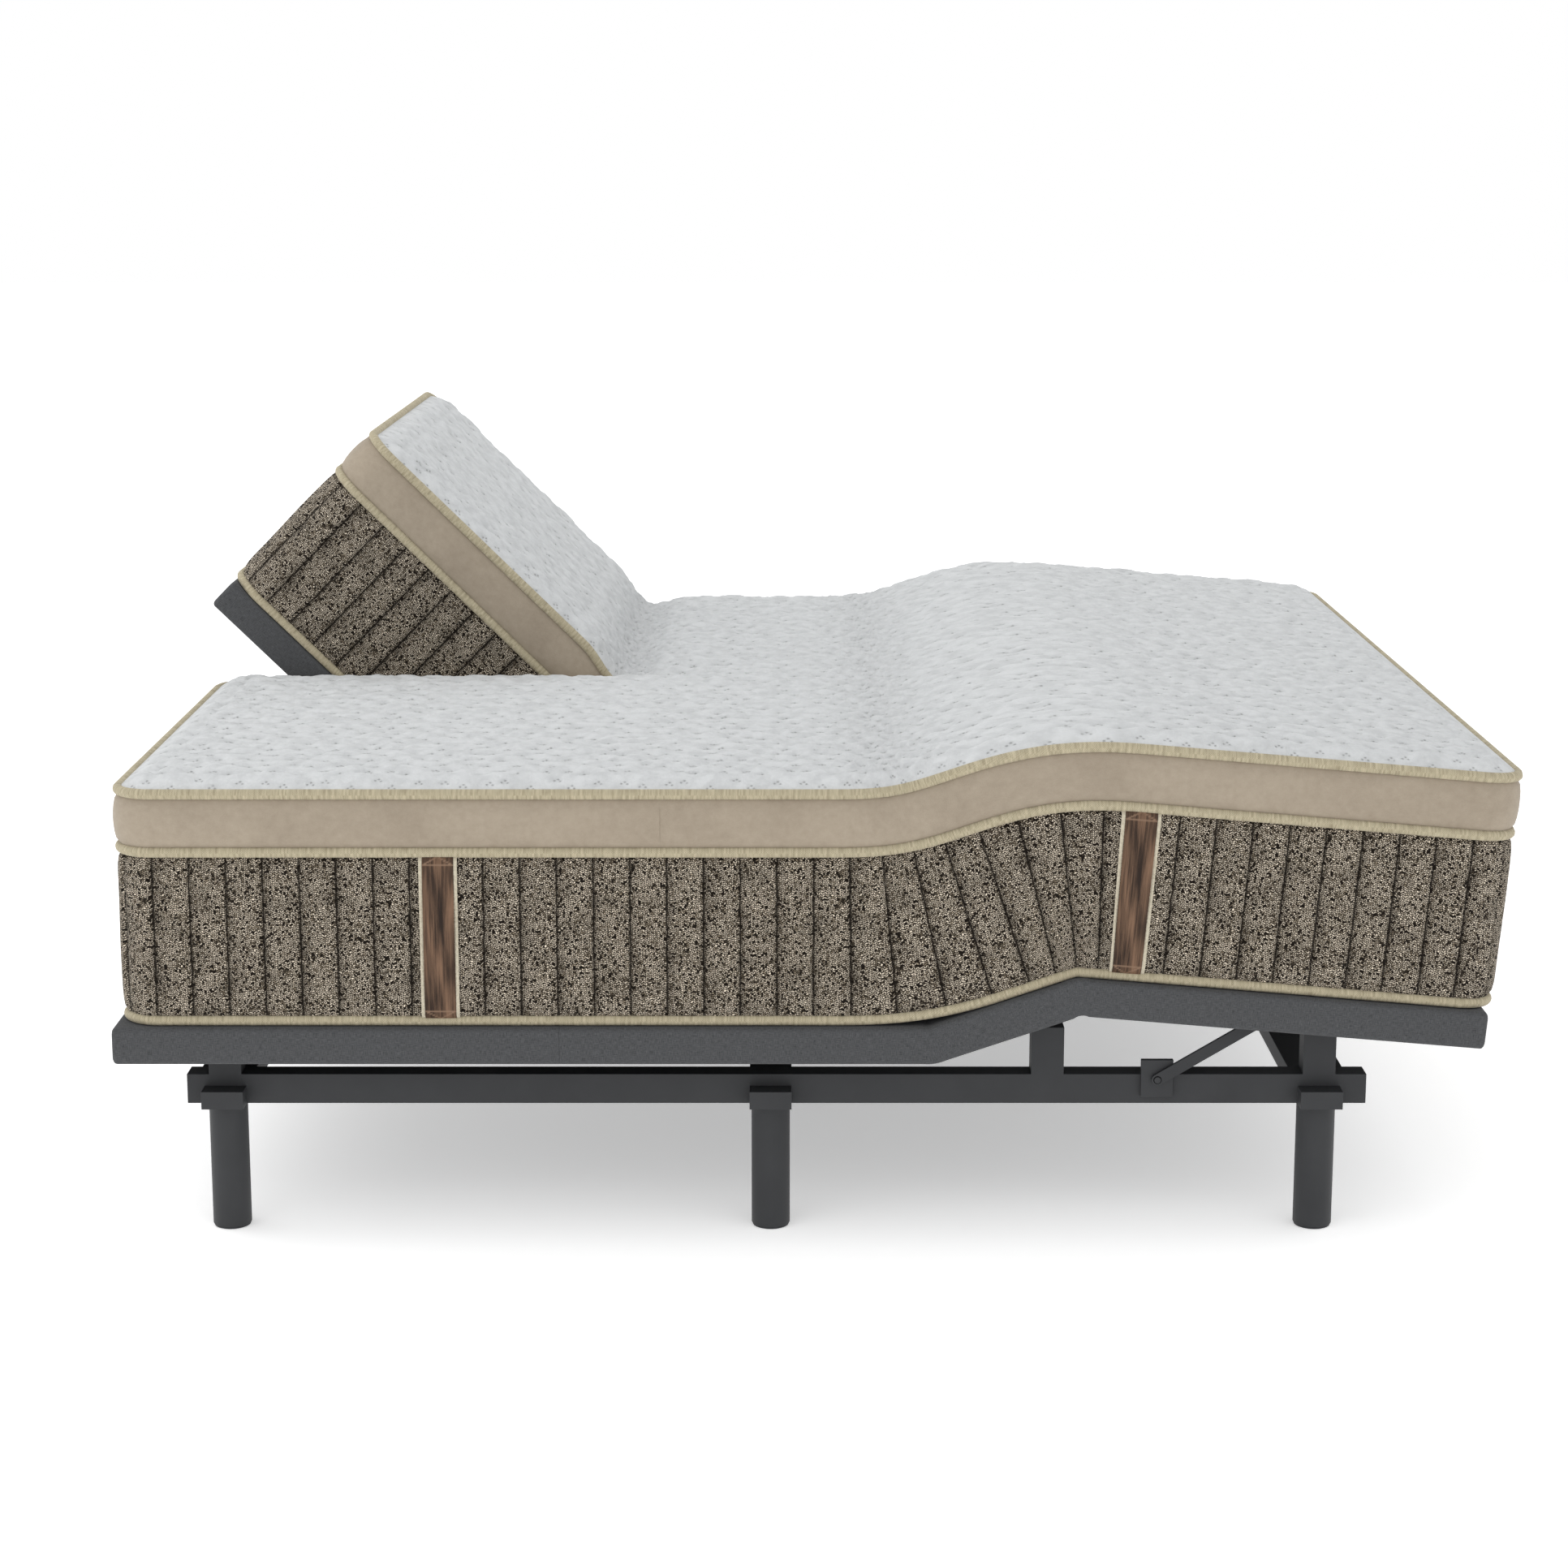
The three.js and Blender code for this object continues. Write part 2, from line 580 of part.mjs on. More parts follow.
function thighDeck() {
  const lean = FOOT_FOLD_LIMIT / 2 + FOLD_RELIEF;
  const outline = skirtOutline(HIP_X + HINGE_END_GAP, KNEE_X - HINGE_END_GAP, 0, lean);
  return deckPanel(outline, -DECK_SIDE, DECK_SIDE);
}

function footDeck() {
  const lean = FOOT_FOLD_LIMIT / 2 + FOLD_RELIEF;
  const outline = skirtOutline(KNEE_X + HINGE_END_GAP, FOOT_X, lean, 0);
  return deckPanel(outline, -DECK_SIDE, DECK_SIDE, 'foot');
}

/** A steel rod across the bed between the side skirts. */
function hingeRod(centre) {
  const y = DECK_SIDE - SKIRT_THICKNESS;
  return crossBar(centre, HINGE_ROD_RADIUS, -y, y);
}

/** The knee lever: two tapered cheeks that hang from the thigh board to the push point. */
function kneeLever() {
  const [x, z] = KNEE_PUSH;
  const { length, height, border } = LINK_SLOT;
  const top = BOARD_UNDERSIDE - WELD_GAP;
  const [root0, root1] = [HIP_X + KNEE_LEVER_ROOT.from_hip, KNEE_X - KNEE_LEVER_ROOT.from_knee];
  const [tip0, tip1] = [x - length / 2 - border, x + length / 2 + border];
  const low = z - height / 2 - border;
  const heel = [tip0, z + KNEE_LEVER_HEEL];
  const outline = [[tip0, low], [tip1, low], [root1, top], [root0, top], heel];
  const cheeks = [-1, 1].map((side) => prism(outline, side * CHEEK_INSIDE, side * CHEEK_OUTSIDE));
  const bridge = box([root0, -CHEEK_OUTSIDE, top - PLATE], [root1, CHEEK_OUTSIDE, top]);
  const slot = box(
    [x - length / 2, -CHEEK_OUTSIDE - LAP, z - height / 2],
    [x + length / 2, CHEEK_OUTSIDE + LAP, z + height / 2],
  );
  return cut(join(bridge, ...cheeks), slot);
}

// ---- Actuators ----------------------------------------------------------------------

/** Gearbox, outer tube and rear eye, drawn along +X from the rear pivot at the origin. */
function actuatorTube(reach) {
  const bore = ROD_RADIUS + BORE_CLEARANCE;
  const start = (GEARBOX.start + GEARBOX.end) / 2;
  const tube = turned([
    [0, start],
    [TUBE_RADIUS, start],
    [TUBE_RADIUS, reach],
    [bore, reach],
    [bore, GEARBOX.end],
    [0, GEARBOX.end],
  ]);
  const gearbox = box(
    [GEARBOX.start, -GEARBOX.width / 2, -GEARBOX.height / 2],
    [GEARBOX.end - LAP, GEARBOX.width / 2, GEARBOX.height / 2],
  );
  const half = EYE_THICKNESS / 2;
  const shank = box([0, -half, -EYE_RADIUS], [GEARBOX.start + LAP, half, EYE_RADIUS]);
  const eye = crossBar([0, 0], EYE_RADIUS, -half, half);
  const hole = crossBar([0, 0], PIN_RADIUS + PIN_CLEARANCE, -half - LAP, half + LAP);
  return cut(join(tube, gearbox, shank, eye), hole);
}

/** The motor can, standing square off the gearbox across the bed. */
function actuatorMotor(side) {
  const near = GEARBOX.width / 2 + WELD_GAP;
  const can = new THREE.CylinderGeometry(MOTOR.radius, MOTOR.radius, MOTOR.length, ROUND_SIDES);
  return can.translate(MOTOR.offset, side * (near + MOTOR.length / 2), 0);
}

/** The push rod and its cross pin, whose axis is at the given length from the rear pivot. */
function actuatorRod(rod_length, length) {
  const half = EYE_THICKNESS / 2;
  const reach = CHEEK_OUTSIDE + PIN_PROUD;
  const start = length - rod_length;
  const rod = turned([[0, start], [ROD_RADIUS, start], [ROD_RADIUS, length], [0, length]]);
  const eye = crossBar([length, 0], EYE_RADIUS, -half, half);
  return join(rod, eye, crossBar([length, 0], CROSS_PIN_RADIUS, -reach, reach));
}

function addActuator(parent, name, { pivot, push, y, reach, rod_length, motor_side }) {
  const [dx, dz] = [push[0] - pivot[0], push[1] - pivot[1]];
  const place = new THREE.Group();
  place.position.set(pivot[0], y, pivot[1]);
  place.rotation.y = -Math.atan2(dz, dx);
  parent.add(place);
  add(place, `${name}_tube`, actuatorTube(reach), 'plastic');
  add(place, `${name}_motor`, actuatorMotor(motor_side), 'plastic');
  add(place, `${name}_rod`, actuatorRod(rod_length, Math.hypot(dx, dz)), 'bright_steel');
}

// ---- Foot links ---------------------------------------------------------------------

/** A flat bar drawn along +X from its lower pivot, with a pin for the slotted lug. */
function footLink(sign) {
  const inner = RAIL_OUTER_Y + LINK_PLATE.thickness + WELD_GAP;
  const outer = inner + LINK_THICKNESS;
  const round = LINK_WIDTH / 2;
  const bar = box([0, sign * inner, -round], [LINK_LENGTH, sign * outer, round]);
  const ends = [0, LINK_LENGTH].map((x) => crossBar([x, 0], round, sign * inner, sign * outer));
  const [before, beyond] = [sign * (inner - LAP), sign * (outer + LAP)];
  const hole = crossBar([0, 0], PIN_RADIUS + PIN_CLEARANCE, before, beyond);
  const pin_end = outer + PLATE + PLATE_CLEARANCE + PIN_PROUD;
  const pin = crossBar([LINK_LENGTH, 0], PIN_RADIUS, sign * (outer - LAP), sign * pin_end);
  return cut(join(bar, ...ends, pin), hole);
}

/** The slotted lug under the foot board that the link's pin works in. */
function footLug(sign) {
  const link_outer = RAIL_OUTER_Y + LINK_PLATE.thickness + WELD_GAP + LINK_THICKNESS;
  const inner = link_outer + WELD_GAP + PLATE_CLEARANCE / 2;
  const { length, height, border } = LINK_SLOT;
  const [x, z] = LINK_LUG;
  const top = BOARD_UNDERSIDE - WELD_GAP;
  const half = length / 2;
  return cut(
    box(
      [x - half - border, sign * inner, z - height / 2 - border],
      [x + half + border, sign * (inner + PLATE), top],
    ),
    box(
      [x - half, sign * (inner - LAP), z - height / 2],
      [x + half, sign * (inner + PLATE + LAP), z + height / 2],
    ),
  );
}

// ---- Mattress -----------------------------------------------------------------------

const HEAD_LEAN = HEAD_LIFT_LIMIT / 2 + FOLD_RELIEF;
const HIP_LEAN = THIGH_LIFT_LIMIT / 2 + FOLD_RELIEF / 2;

/** The head joint's face in [x, z], upright below the centre and leaning away above it. */
function headFace(side, neck) {
  const lean = (MATTRESS_TOP - HEAD_CENTRE_HEIGHT) * Math.tan(radians(HEAD_LEAN));
  return [
    [SEAT_X + side * neck, MATTRESS_BOTTOM],
    [SEAT_X + side * neck, HEAD_CENTRE_HEIGHT],
    [SEAT_X + side * (neck + lean), MATTRESS_TOP],
  ];
}

/** The seat-thigh joint's face in [x, z], leaning away from the hinge. */
function hipFace(side, neck) {
  return [MATTRESS_BOTTOM, MATTRESS_TOP].map((z) => {
    const lean = (z - HINGE_HEIGHT) * Math.tan(radians(HIP_LEAN));
    return [HIP_X + side * (neck + lean), z];
  });
}

/** The thigh-foot joint's upright face in [x, z]. */
function kneeFace(side, neck) {
  return [MATTRESS_BOTTOM, MATTRESS_TOP].map((z) => [KNEE_X + side * neck, z]);
}

const halfWidth = (sign) => [sign * MATTRESS_SPLIT / 2, sign * MATTRESS_SIDE];

function mattressHead(sign) {
  const outline = [
    [MATTRESS_HEAD_INSET, MATTRESS_BOTTOM],
    ...headFace(-1, FOLD_NECK),
    [MATTRESS_HEAD_INSET, MATTRESS_TOP],
  ];
  return prism(outline, ...halfWidth(sign));
}

function mattressSeat() {
  const outline = [...hipFace(-1, FOLD_NECK), ...headFace(1, FOLD_NECK).reverse()];
  return prism(outline, -MATTRESS_SIDE, MATTRESS_SIDE);
}

function mattressThigh() {
  const outline = [...kneeFace(-1, KNEE_NECK), ...hipFace(1, FOLD_NECK).reverse()];
  return prism(outline, -MATTRESS_SIDE, MATTRESS_SIDE);
}

function mattressFoot() {
  const end = FOOT_X + MATTRESS_FOOT_OVERHANG;
  const outline = [[end, MATTRESS_BOTTOM], [end, MATTRESS_TOP], ...kneeFace(1, KNEE_NECK).reverse()];
  return prism(outline, -MATTRESS_SIDE, MATTRESS_SIDE);
}

/** The stretch of mattress that folds between two rigid parts, at its resting shape. */
const fold = (left, right, y0, y1) => prism([...right, ...left.reverse()], y0, y1);

function headFold(sign, lift) {
  const neck = FOLD_NECK - SOFT_GAP;
  const left = headFace(-1, neck).map((point) => turnPoint(point, HEAD_CENTRE, lift));
  return fold(left, headFace(1, neck), ...halfWidth(sign));
}

function hipFold() {
  const neck = FOLD_NECK - SOFT_GAP;
  const right = hipFace(1, neck).map((point) => turnPoint(point, HIP, -THIGH_LIFT));
  return fold(hipFace(-1, neck), right, -MATTRESS_SIDE, MATTRESS_SIDE);
}

/** The knee fold, drawn in the thigh's flat frame. */
function kneeFold() {
  const neck = KNEE_NECK - SOFT_GAP;
  const right = kneeFace(1, neck).map((point) => turnPoint(point, KNEE, FOOT_FOLD));
  return fold(kneeFace(-1, neck), right, -MATTRESS_SIDE, MATTRESS_SIDE);
}

// ---- Assembly -----------------------------------------------------------------------

const bed = new THREE.Group();

function addUnderframe() {
  for (const { name, sign } of SIDES) {
    add(bed, `side_rail_${name}`, sideRail(sign), 'steel');
    for (const [place, x] of Object.entries(LEG_PLACES)) {
      add(bed, `leg_${name}_${place}`, leg().translate(x, sign * LEG_Y, 0), 'steel');
    }
  }
  add(bed, 'crossbeam_head', crossbeam(LEG_PLACES.head, END_BEAM_LENGTH), 'steel');
  add(bed, 'crossbeam_middle', middleCrossbeam(), 'steel');
  add(bed, 'crossbeam_foot', crossbeam(LEG_PLACES.foot, END_BEAM_LENGTH), 'steel');
  add(bed, 'knee_hanger', kneeHanger(), 'steel');
  add(bed, 'control_box', controlBox(), 'plastic');
}

function addHeadHalf({ name, sign, lift }) {
  const head = turnedGroup(bed, HEAD_CENTRE, lift);
  const glides = [
    ['outer', GLIDE_OUTER_Y, 1, MIDDLE_BEAM_X + MIDDLE_BEAM_LENGTH / 2],
    ['inner', GLIDE_INNER_Y, -1, LEG_PLACES.foot + END_BEAM_LENGTH / 2],
  ];
  for (const [place, y, backing, end] of glides) {
    add(bed, `glide_bearer_${name}_${place}`, glideBearer(sign, y, backing, end), 'steel');
    add(bed, `glide_shoe_${name}_${place}`, glideShoe(sign, y, backing), 'nylon');
    add(head, `glide_rail_${name}_${place}`, glideRail(sign, y, backing), 'steel');
  }
  add(head, `head_deck_${name}`, headDeck(sign), 'deck_fabric');
  add(head, `drive_yoke_${name}`, driveYoke(sign), 'steel');
  add(bed, `actuator_mount_${name}`, actuatorMount(sign), 'steel');
  add(head, `mattress_head_${name}`, mattressHead(sign), 'mattress');
  add(bed, `mattress_head_fold_${name}`, headFold(sign, lift), 'mattress');
  addActuator(bed, `head_actuator_${name}`, {
    pivot: HEAD_REAR,
    push: turnPoint(pinOnHead(lift), HEAD_CENTRE, lift),
    y: sign * HEAD_ACTUATOR_Y,
    reach: HEAD_TUBE_REACH,
    rod_length: HEAD_ROD_LENGTH,
    motor_side: sign,
  });
}

function addKneeAndFoot() {
  const thigh = turnedGroup(bed, HIP, -THIGH_LIFT);
  const foot = turnedGroup(thigh, KNEE, FOOT_FOLD);
  add(bed, 'seat_deck', seatDeck(), 'deck_fabric');
  add(bed, 'hip_hinge_rod', hingeRod(HIP), 'bright_steel');
  add(thigh, 'thigh_deck', thighDeck(), 'deck_fabric');
  add(thigh, 'knee_lever', kneeLever(), 'steel');
  add(thigh, 'knee_hinge_rod', hingeRod(KNEE), 'bright_steel');
  add(foot, 'foot_deck', footDeck(), 'deck_fabric');
  for (const { name, sign } of SIDES) {
    const link = new THREE.Group();
    link.position.set(LINK_PIVOT[0], 0, LINK_PIVOT[1]);
    link.rotation.y = -radians(LINK_REST_ANGLE);
    bed.add(link);
    add(link, `foot_link_${name}`, footLink(sign), 'steel');
    add(foot, `foot_lug_${name}`, footLug(sign), 'steel');
  }
  add(bed, 'mattress_seat', mattressSeat(), 'mattress');
  add(bed, 'mattress_hip_fold', hipFold(), 'mattress');
  add(thigh, 'mattress_thigh', mattressThigh(), 'mattress');
  add(thigh, 'mattress_knee_fold', kneeFold(), 'mattress');
  add(foot, 'mattress_foot', mattressFoot(), 'mattress');
  addActuator(bed, 'knee_actuator', {
    pivot: KNEE_PIVOT,
    push: turnPoint(KNEE_PUSH, HIP, -THIGH_LIFT),
    y: 0,
    reach: KNEE_TUBE_REACH,
    rod_length: KNEE_ROD_LENGTH,
    motor_side: 1,
  });
}

addUnderframe();
SIDES.forEach(addHeadHalf);
addKneeAndFoot();

// The origin is the middle of the assembly's box, on the floor.
const group = new THREE.Group();
group.add(bed);
const middle = new THREE.Box3().setFromObject(bed, true).getCenter(new THREE.Vector3());
bed.position.set(-middle.x, -middle.y, 0);

export default group;
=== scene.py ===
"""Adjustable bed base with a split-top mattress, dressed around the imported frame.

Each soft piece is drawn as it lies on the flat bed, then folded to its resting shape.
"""

import json
import logging
import math
from dataclasses import dataclass, field
from enum import Enum
from typing import Callable

import bmesh
import bpy
import numpy as np
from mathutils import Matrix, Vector

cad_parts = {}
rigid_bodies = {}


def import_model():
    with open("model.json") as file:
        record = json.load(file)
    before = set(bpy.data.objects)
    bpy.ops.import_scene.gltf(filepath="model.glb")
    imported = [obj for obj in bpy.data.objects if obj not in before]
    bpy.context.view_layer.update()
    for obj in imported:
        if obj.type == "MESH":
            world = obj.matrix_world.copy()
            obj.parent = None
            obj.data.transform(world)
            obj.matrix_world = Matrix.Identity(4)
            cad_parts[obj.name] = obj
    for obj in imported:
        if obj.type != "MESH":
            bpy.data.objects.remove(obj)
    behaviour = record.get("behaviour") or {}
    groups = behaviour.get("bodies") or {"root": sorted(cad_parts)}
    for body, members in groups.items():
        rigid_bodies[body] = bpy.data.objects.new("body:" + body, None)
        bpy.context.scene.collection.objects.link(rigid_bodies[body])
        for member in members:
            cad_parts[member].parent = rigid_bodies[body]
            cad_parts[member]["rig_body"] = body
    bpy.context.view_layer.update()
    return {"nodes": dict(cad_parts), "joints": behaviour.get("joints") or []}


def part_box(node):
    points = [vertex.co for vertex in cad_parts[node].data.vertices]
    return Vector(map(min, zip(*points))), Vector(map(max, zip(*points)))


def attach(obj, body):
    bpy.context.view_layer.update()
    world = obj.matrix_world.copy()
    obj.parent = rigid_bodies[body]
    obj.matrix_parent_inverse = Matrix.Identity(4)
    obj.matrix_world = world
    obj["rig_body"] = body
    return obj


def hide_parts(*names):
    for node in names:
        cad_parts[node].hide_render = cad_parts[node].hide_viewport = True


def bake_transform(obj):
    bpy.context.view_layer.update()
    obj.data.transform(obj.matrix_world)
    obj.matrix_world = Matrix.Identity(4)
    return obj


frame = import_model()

log = logging.getLogger("bed")
MM = 0.001
Points = np.ndarray


# ---- Names --------------------------------------------------------------------------------


class Slot(Enum):
    """The record's material slots."""

    MATTRESS = "mattress_fabric"
    LINEN = "deck_linen"
    STEEL = "powder_coat"
    BRIGHT = "bright_steel"
    PLASTIC = "black_plastic"
    NYLON = "nylon"


class Section(Enum):
    """A stretch of the bed that bends between two bodies."""

    NEAR_HEAD = ("base", "head_near")
    FAR_HEAD = ("base", "head_far")
    SEAT = ("base", "thigh")
    FOOT = ("thigh", "foot")

    @property
    def label(self) -> str:
        """The section's name as a piece's name has it."""
        return self.name.lower()

    @property
    def is_head(self) -> bool:
        """True for the two halves that the split parts."""
        return self in (Section.NEAR_HEAD, Section.FAR_HEAD)


# ---- Where the bed folds --------------------------------------------------------------------


def smooth(share: Points) -> Points:
    """A ramp from 0 to 1 that starts and ends level."""
    t = np.clip(share, 0.0, 1.0)
    return t * t * (3.0 - 2.0 * t)


def turned(points: Points, centre: tuple[float, float], angles: Points) -> Points:
    """Turns points about a line across the bed. A positive angle raises the head side.

    Args:
        points: Rows of x, y, z.
        centre: The line's x and z.
        angles: The turn of each point, in radians.

    Returns:
        The turned points.
    """
    dx, dz = points[:, 0] - centre[0], points[:, 2] - centre[1]
    cosine, sine = np.cos(angles), np.sin(angles)
    x = centre[0] + dx * cosine + dz * sine
    z = centre[1] - dx * sine + dz * cosine
    return np.stack([x, points[:, 1], z], axis=1)


def joint_named(name: str) -> dict:
    """The frame's joint of that name."""
    return next(j for j in frame["joints"] if j["name"] == name)


def rest_turn(name: str) -> float:
    """How far a joint stands from its flat end at rest, in radians."""
    return math.radians(-joint_named(name)["range_deg"][0])


@dataclass
class Bedform:
    """The flat bed's fold lines, its resting angles and what they do to a point."""

    bend: float = 230 * MM
    head_half: float = 150 * MM
    head_inset: float = 8 * MM
    far_creep: float = 13 * MM
    foot_overhang: float = 15 * MM
    neutral_height: float = 516 * MM
    hip_cover_bend: float = 19 * MM
    knee_cover_bend: float = 42 * MM
    corner_clearance: float = 0.6 * MM
    table_step: float = 1 * MM

    def __post_init__(self) -> None:
        """Reads the joints and works the fold lines out from them."""
        self.head_x, _, self.head_z = joint_named("head_near_lift")["pos_m"]
        self.hip_x, _, self.hip_z = joint_named("thigh_lift")["pos_m"]
        knee_x, _, knee_z = joint_named("foot_fold")["pos_m"]
        self.far_lift = rest_turn("head_far_lift")
        self.thigh_lift = rest_turn("thigh_lift")
        self.foot_fold = rest_turn("foot_fold")
        thigh_length = math.hypot(knee_x - self.hip_x, knee_z - self.hip_z)
        self.knee_x = self.hip_x + thigh_length
        self.deck_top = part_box("seat_deck")[1].z
        foot = np.array([v.co for v in frame["nodes"]["foot_deck"].data.vertices])
        slope = self.thigh_lift - self.foot_fold
        along = (foot[:, 0] - knee_x) * math.cos(slope) + (foot[:, 2] - knee_z) * math.sin(slope)
        self.foot_end = self.knee_x + float(along.max())
        above = self.neutral_height - self.hip_z
        hip_tangent = self.tangent(self.thigh_lift)
        knee_tangent = self.tangent(self.foot_fold)
        hip_slack = above * math.tan(self.thigh_lift / 2)
        knee_slack = above * math.tan(self.foot_fold / 2)
        self.hip_from = self.hip_x - hip_slack - hip_tangent
        between = thigh_length + knee_slack - hip_slack - hip_tangent - knee_tangent
        self.crest = self.hip_from + self.bend + between / 2
        self.knee_from = self.hip_from + self.bend + between
        beyond = self.foot_end + self.foot_overhang - self.knee_x - (knee_tangent - knee_slack)
        self.mattress_foot = self.knee_from + self.bend + beyond
        self.mattress_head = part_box("head_deck_near")[0].x + self.head_inset
        self.split_end = self.head_x + self.head_half
        self.cover_crest = (self.hip_x + self.knee_x) / 2
        steps = int((self.mattress_foot - self.hip_from) / self.table_step) + 2
        self.table_x = self.hip_from + self.table_step * np.arange(steps)
        middles = self.slope(self.table_x[:-1] + self.table_step / 2)
        run = np.concatenate([[0.0], np.cumsum(np.cos(middles))]) * self.table_step
        rise = np.concatenate([[0.0], np.cumsum(np.sin(middles))]) * self.table_step
        self.line_x = self.hip_from + run
        self.line_z = self.neutral_height + rise

    def tangent(self, turn: float) -> float:
        """How far a bend's corner lies past its start, for a bend of the given turn."""
        shares = (np.arange(400) + 0.5) / 400
        angles = turn * smooth(shares)
        run, rise = np.cos(angles).mean() * self.bend, np.sin(angles).mean() * self.bend
        return float(run - rise / math.tan(turn))

    def slope(self, x: Points) -> Points:
        """The mattress's slope at flat places past the head, in radians."""
        hip = smooth((x - self.hip_from) / self.bend)
        knee = smooth((x - self.knee_from) / self.bend)
        return self.thigh_lift * hip - self.foot_fold * knee

    def share(self, x: Points, section: Section) -> Points:
        """Each flat place's share of its section's joint, from 0 to 1."""
        if section.is_head:
            return 1.0 - smooth((x - self.head_x + self.head_half) / (2 * self.head_half))
        start = self.hip_from if section is Section.SEAT else self.knee_from
        return smooth((x - start) / self.bend)

    def rest_lift(self, section: Section) -> float:
        """A head half's resting angle."""
        return self.far_lift if section is Section.FAR_HEAD else 0.0

    def lay(self, points: Points, section: Section) -> Points:
        """Folds flat points of the mattress to the bed's resting shape."""
        if section.is_head:
            angles = self.share(points[:, 0], section) * self.rest_lift(section)
            return turned(points, (self.head_x, self.head_z), angles)
        laid = self.bent(points)
        foot_of = points.copy()
        foot_of[:, 2] = self.deck_top
        lift = self.corner_lift(self.bent(foot_of))
        fade = 1.0 - smooth((points[:, 2] - self.deck_top) / (120 * MM))
        angles = self.slope(points[:, 0])
        laid[:, 0] -= lift * fade * np.sin(angles)
        laid[:, 2] += lift * fade * np.cos(angles)
        return laid

    def bent(self, points: Points) -> Points:
        """Stands each point on the folded middle line, square to it."""
        x = points[:, 0]
        angles = self.slope(x)
        height = points[:, 2] - self.neutral_height
        line_x = np.where(x < self.hip_from, x, np.interp(x, self.table_x, self.line_x))
        line_z = np.where(x < self.hip_from, self.neutral_height,
                          np.interp(x, self.table_x, self.line_z))
        return np.stack([line_x - height * np.sin(angles), points[:, 1],
                         line_z + height * np.cos(angles)], axis=1)

    def corner_lift(self, laid: Points) -> Points:
        """How far laid points stand inside the raised corner of the deck at the knee."""
        top = self.deck_top - self.hip_z + self.corner_clearance
        thigh, foot = self.thigh_lift, self.thigh_lift - self.foot_fold
        knee_x = self.hip_x + (self.knee_x - self.hip_x) * math.cos(thigh)
        knee_z = self.hip_z + (self.knee_x - self.hip_x) * math.sin(thigh)
        depths = [
            top + (laid[:, 0] - knee_x) * math.sin(slope) - (laid[:, 2] - knee_z) * math.cos(slope)
            for slope in (thigh, foot)
        ]
        return np.maximum(np.minimum(*depths), 0.0)

    def cover_share(self, x: Points, section: Section) -> Points:
        """A deck cover's share of its joint: an even turn over a short stretch."""
        if section is Section.SEAT:
            return np.clip((x - self.hip_x) / self.hip_cover_bend + 0.5, 0.0, 1.0)
        return np.clip((x - self.knee_x) / self.knee_cover_bend + 0.5, 0.0, 1.0)

    def lay_cover(self, points: Points, section: Section) -> Points:
        """Folds flat points of a deck cover to the bed's resting shape."""
        hinge = self.hip_z
        if section is Section.SEAT:
            turn = -self.thigh_lift * self.cover_share(points[:, 0], section)
            return turned(points, (self.hip_x, hinge), turn)
        turn = self.foot_fold * self.cover_share(points[:, 0], section)
        folded = turned(points, (self.knee_x, hinge), turn)
        return turned(folded, (self.hip_x, hinge), np.full(len(points), -self.thigh_lift))


# ---- Finishes -------------------------------------------------------------------------------


def tone(red: int, green: int, blue: int) -> tuple[float, float, float, float]:
    """A linear colour from display levels of 0 to 255."""
    linear = [
        (c / 255 / 12.92) if c <= 10 else ((c / 255 + 0.055) / 1.055) ** 2.4
        for c in (red, green, blue)
    ]
    return (*linear, 1.0)


